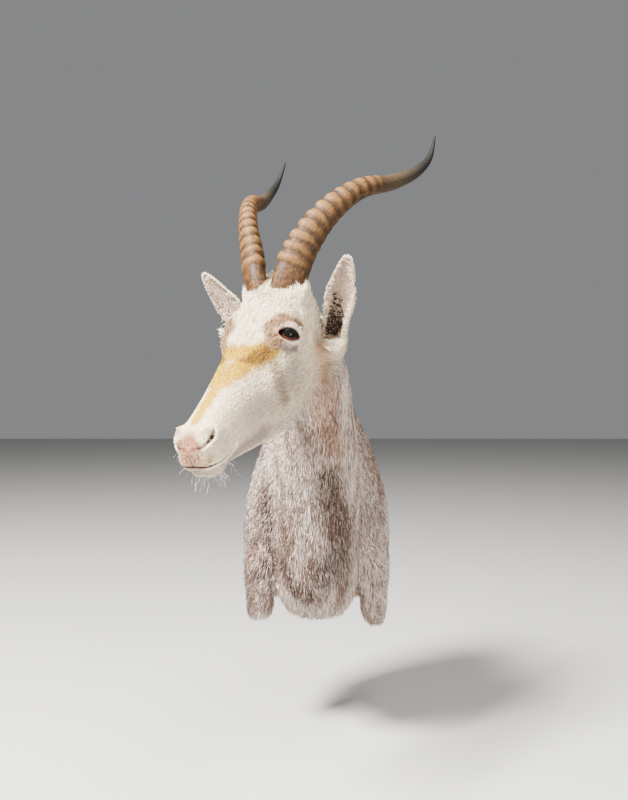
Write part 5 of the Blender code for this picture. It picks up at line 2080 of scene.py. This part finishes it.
class BLESBOK_OT_hairs(Operator):
    """Sets the whiskers and the lashes"""

    bl_idname = "blesbok.hairs"
    bl_label = "Whiskers and lashes"

    def execute(self, context):
        rng = np.random.default_rng(SEED + 1)
        pale, bench, shader = surface("pale_whisker", 0.45)
        p = frame_place(bench)
        tone = bench.noise(p, 0.3, 2.0)
        feed(bench, bench.mix(tone, WHISKER_PALE, WHISKER_TAN), shader, "Base Color")
        tree = hair_tree()
        # centre, spread, number, way, scatter of the way, shortest and longest
        groups = (
            ((200, 9, -62), (12, 7, 3), 44, (0.25, 0.35, -1.0), 0.35, 9, 27),
            ((206, 20, -44), (14, 4, 5), 26, (0.35, 0.9, -0.7), 0.35, 8, 20),
            ((215, 22, -26), (8, 5, 7), 22, (0.5, 1.0, -0.3), 0.35, 6, 13),
        )
        made = [hair_roots(rng, *group) for group in groups]
        at, way, span = [np.concatenate(part) for part in zip(*made)]
        item = path_object("whiskers", at, way=way, span=span * MM)
        grow(item, tree, material=pale, thickness=0.0045, bend=0.22)
        settle_piece(smooth(item))
        for side, name in ((1, "lashes_left"), (-1, "lashes_right")):
            line, away, turn = lid_line(side, LASH_PLACES, 2.0)
            upper = (turn > 0.35) & (turn < 2.9)
            lower = (turn > 3.7) & (turn < 5.6)
            picked = np.flatnonzero(upper | (lower & (np.arange(LASH_PLACES) % 3 == 0)))
            count = len(picked)
            spans = np.where(upper[picked], UPPER_LASH, LOWER_LASH)
            spans = spans * rng.uniform(0.7, 1.2, count)
            ways = away[picked] + rng.normal(0, 0.16, (count, 3))
            item = path_object(name, line[picked], way=ways, span=spans * MM)
            grow(item, tree, material=pale, thickness=0.02, bend=0.3, seed=9)
            settle_piece(smooth(item))
        return {"FINISHED"}


class BLESBOK_OT_board(Operator):
    """Gives the back board its planed wood"""

    bl_idname = "blesbok.board"
    bl_label = "Back board"

    def execute(self, context):
        wood, bench, shader = surface("board_wood", 0.6)
        p = frame_place(bench)
        grain = bench.vector("MULTIPLY", p, (0.09, 0.02, 0.006))
        rings = bench.noise(grain, 1.0, 4.0, 0.6)
        lines = bench.call("FRACT", rings * 9.0)
        colour = bench.mix(lines, WOOD_LIGHT, WOOD_BROWN)
        pores = bench.noise(bench.vector("MULTIPLY", p, (0.9, 0.9, 0.06)), 1.0, 3.0)
        colour = bench.mix(bench.step(pores, 0.6, 0.75) * 0.4, colour, WOOD_PORE)
        feed(bench, colour, shader, "Base Color")
        feed(bench, 0.5 + 0.25 * pores, shader, "Roughness")
        feed(bench, bump(bench, pores * 0.5 + lines * 0.3, 0.0004), shader, "Normal")
        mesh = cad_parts["back_board"].data
        mesh.materials.clear()
        mesh.materials.append(wood)
        return {"FINISHED"}


class BLESBOK_OT_stage(Operator):
    """Sets the floor, the soft lights and the camera"""

    bl_idname = "blesbok.stage"
    bl_label = "Stage"

    def execute(self, context):
        look = context.scene.blesbok_stage
        scene = context.scene
        bm = bmesh.new()
        bmesh.ops.create_grid(bm, x_segments=8, y_segments=8, size=12)
        mesh = bpy.data.meshes.new("studio_floor")
        bmesh.ops.translate(bm, verts=bm.verts, vec=(0, 0, look.floor_height))
        bm.to_mesh(mesh)
        bm.free()
        paint, bench, shader = surface("studio_floor", 0.8)
        at = bench.node("ShaderNodeTexCoord", output="Object")
        tone = bench.noise(at, 3.0, 2.0)
        feed(bench, bench.mix(tone, lift(look.floor), lift([c * 0.97 for c in look.floor])),
             shader, "Base Color")
        floor = set_out("studio_floor", mesh, paint)
        scene.world = bpy.data.worlds.new("studio_light")
        scene.world.use_nodes = True
        sky = scene.world.node_tree.nodes["Background"]
        sky.inputs["Color"].default_value = SKY_COLOUR
        sky.inputs["Strength"].default_value = SKY_STRENGTH * look.light
        # name, place, aim, size and power
        lamps = (
            ("key", (-1.6, -2.0, 2.5), (-0.05, -0.38, 0.15), 0.8, 1250),
            ("fill", (1.9, -2.2, 0.7), (0.0, -0.2, 0.1), 0.8, 55),
            ("top", (0.5, -1.3, 2.4), (0.0, -0.35, 0.2), 0.9, 90),
            ("low", (0.4, -2.4, -0.2), (0.0, -0.2, -0.1), 1.0, 6),
        )
        for name, place, aim, size, power in lamps:
            light = bpy.data.lights.new(name, "AREA")
            light.size = size
            light.energy = power * look.light
            light.color = look.lamp
            item = set_out(name, light)
            item.location = place
            way = Vector(aim) - Vector(place)
            item.rotation_euler = way.to_track_quat("-Z", "Y").to_euler()
        data = bpy.data.cameras.new("camera")
        data.lens = LENS
        data.sensor_width = SENSOR_WIDTH
        camera = set_out("camera", data)
        camera.location = CAMERA_AT
        camera.rotation_euler = (np.pi / 2, 0, 0)
        scene.camera = camera
        return {"FINISHED"}


class BLESBOK_PT_mount(Panel):
    """Lists the pieces of the mount with their sizes and colours"""

    bl_idname = "BLESBOK_PT_mount"
    bl_label = "Blesbok mount"
    bl_space_type = "VIEW_3D"
    bl_region_type = "UI"
    bl_category = "Mount"

    def draw(self, context):
        for look, steps in LOOKS:
            box = self.layout.box()
            group = getattr(context.scene, look)
            for key in group.__annotations__:
                box.prop(group, key)
            for step in steps:
                box.operator(step)


LOOKS = (
    ("blesbok_coat", ("blesbok.skin", "blesbok.coat", "blesbok.hairs")),
    ("blesbok_eyes", ("blesbok.eyes",)),
    ("blesbok_horns", ("blesbok.horns", "blesbok.board")),
    ("blesbok_stage", ("blesbok.stage",)),
)
CLASSES = (CoatLook, EyeLook, HornLook, StageLook, BLESBOK_OT_skin, BLESBOK_OT_coat,
           BLESBOK_OT_hairs, BLESBOK_OT_eyes, BLESBOK_OT_horns, BLESBOK_OT_board,
           BLESBOK_OT_stage, BLESBOK_PT_mount)


def register():
    """Adds the groups of values, the operators and the panel."""
    for item in CLASSES:
        bpy.utils.register_class(item)
    scene = bpy.types.Scene
    scene.blesbok_coat = PointerProperty(type=CoatLook)
    scene.blesbok_eyes = PointerProperty(type=EyeLook)
    scene.blesbok_horns = PointerProperty(type=HornLook)
    scene.blesbok_stage = PointerProperty(type=StageLook)


def unregister():
    """Takes them out again."""
    for look, _ in LOOKS:
        delattr(bpy.types.Scene, look)
    for item in reversed(CLASSES):
        bpy.utils.unregister_class(item)


def main():
    """Makes every piece."""
    register()
    bpy.ops.blesbok.skin()
    bpy.ops.blesbok.coat()
    bpy.ops.blesbok.hairs()
    bpy.ops.blesbok.eyes()
    bpy.ops.blesbok.horns()
    bpy.ops.blesbok.board()
    bpy.ops.blesbok.stage()


if __name__ == "__main__":
    main()
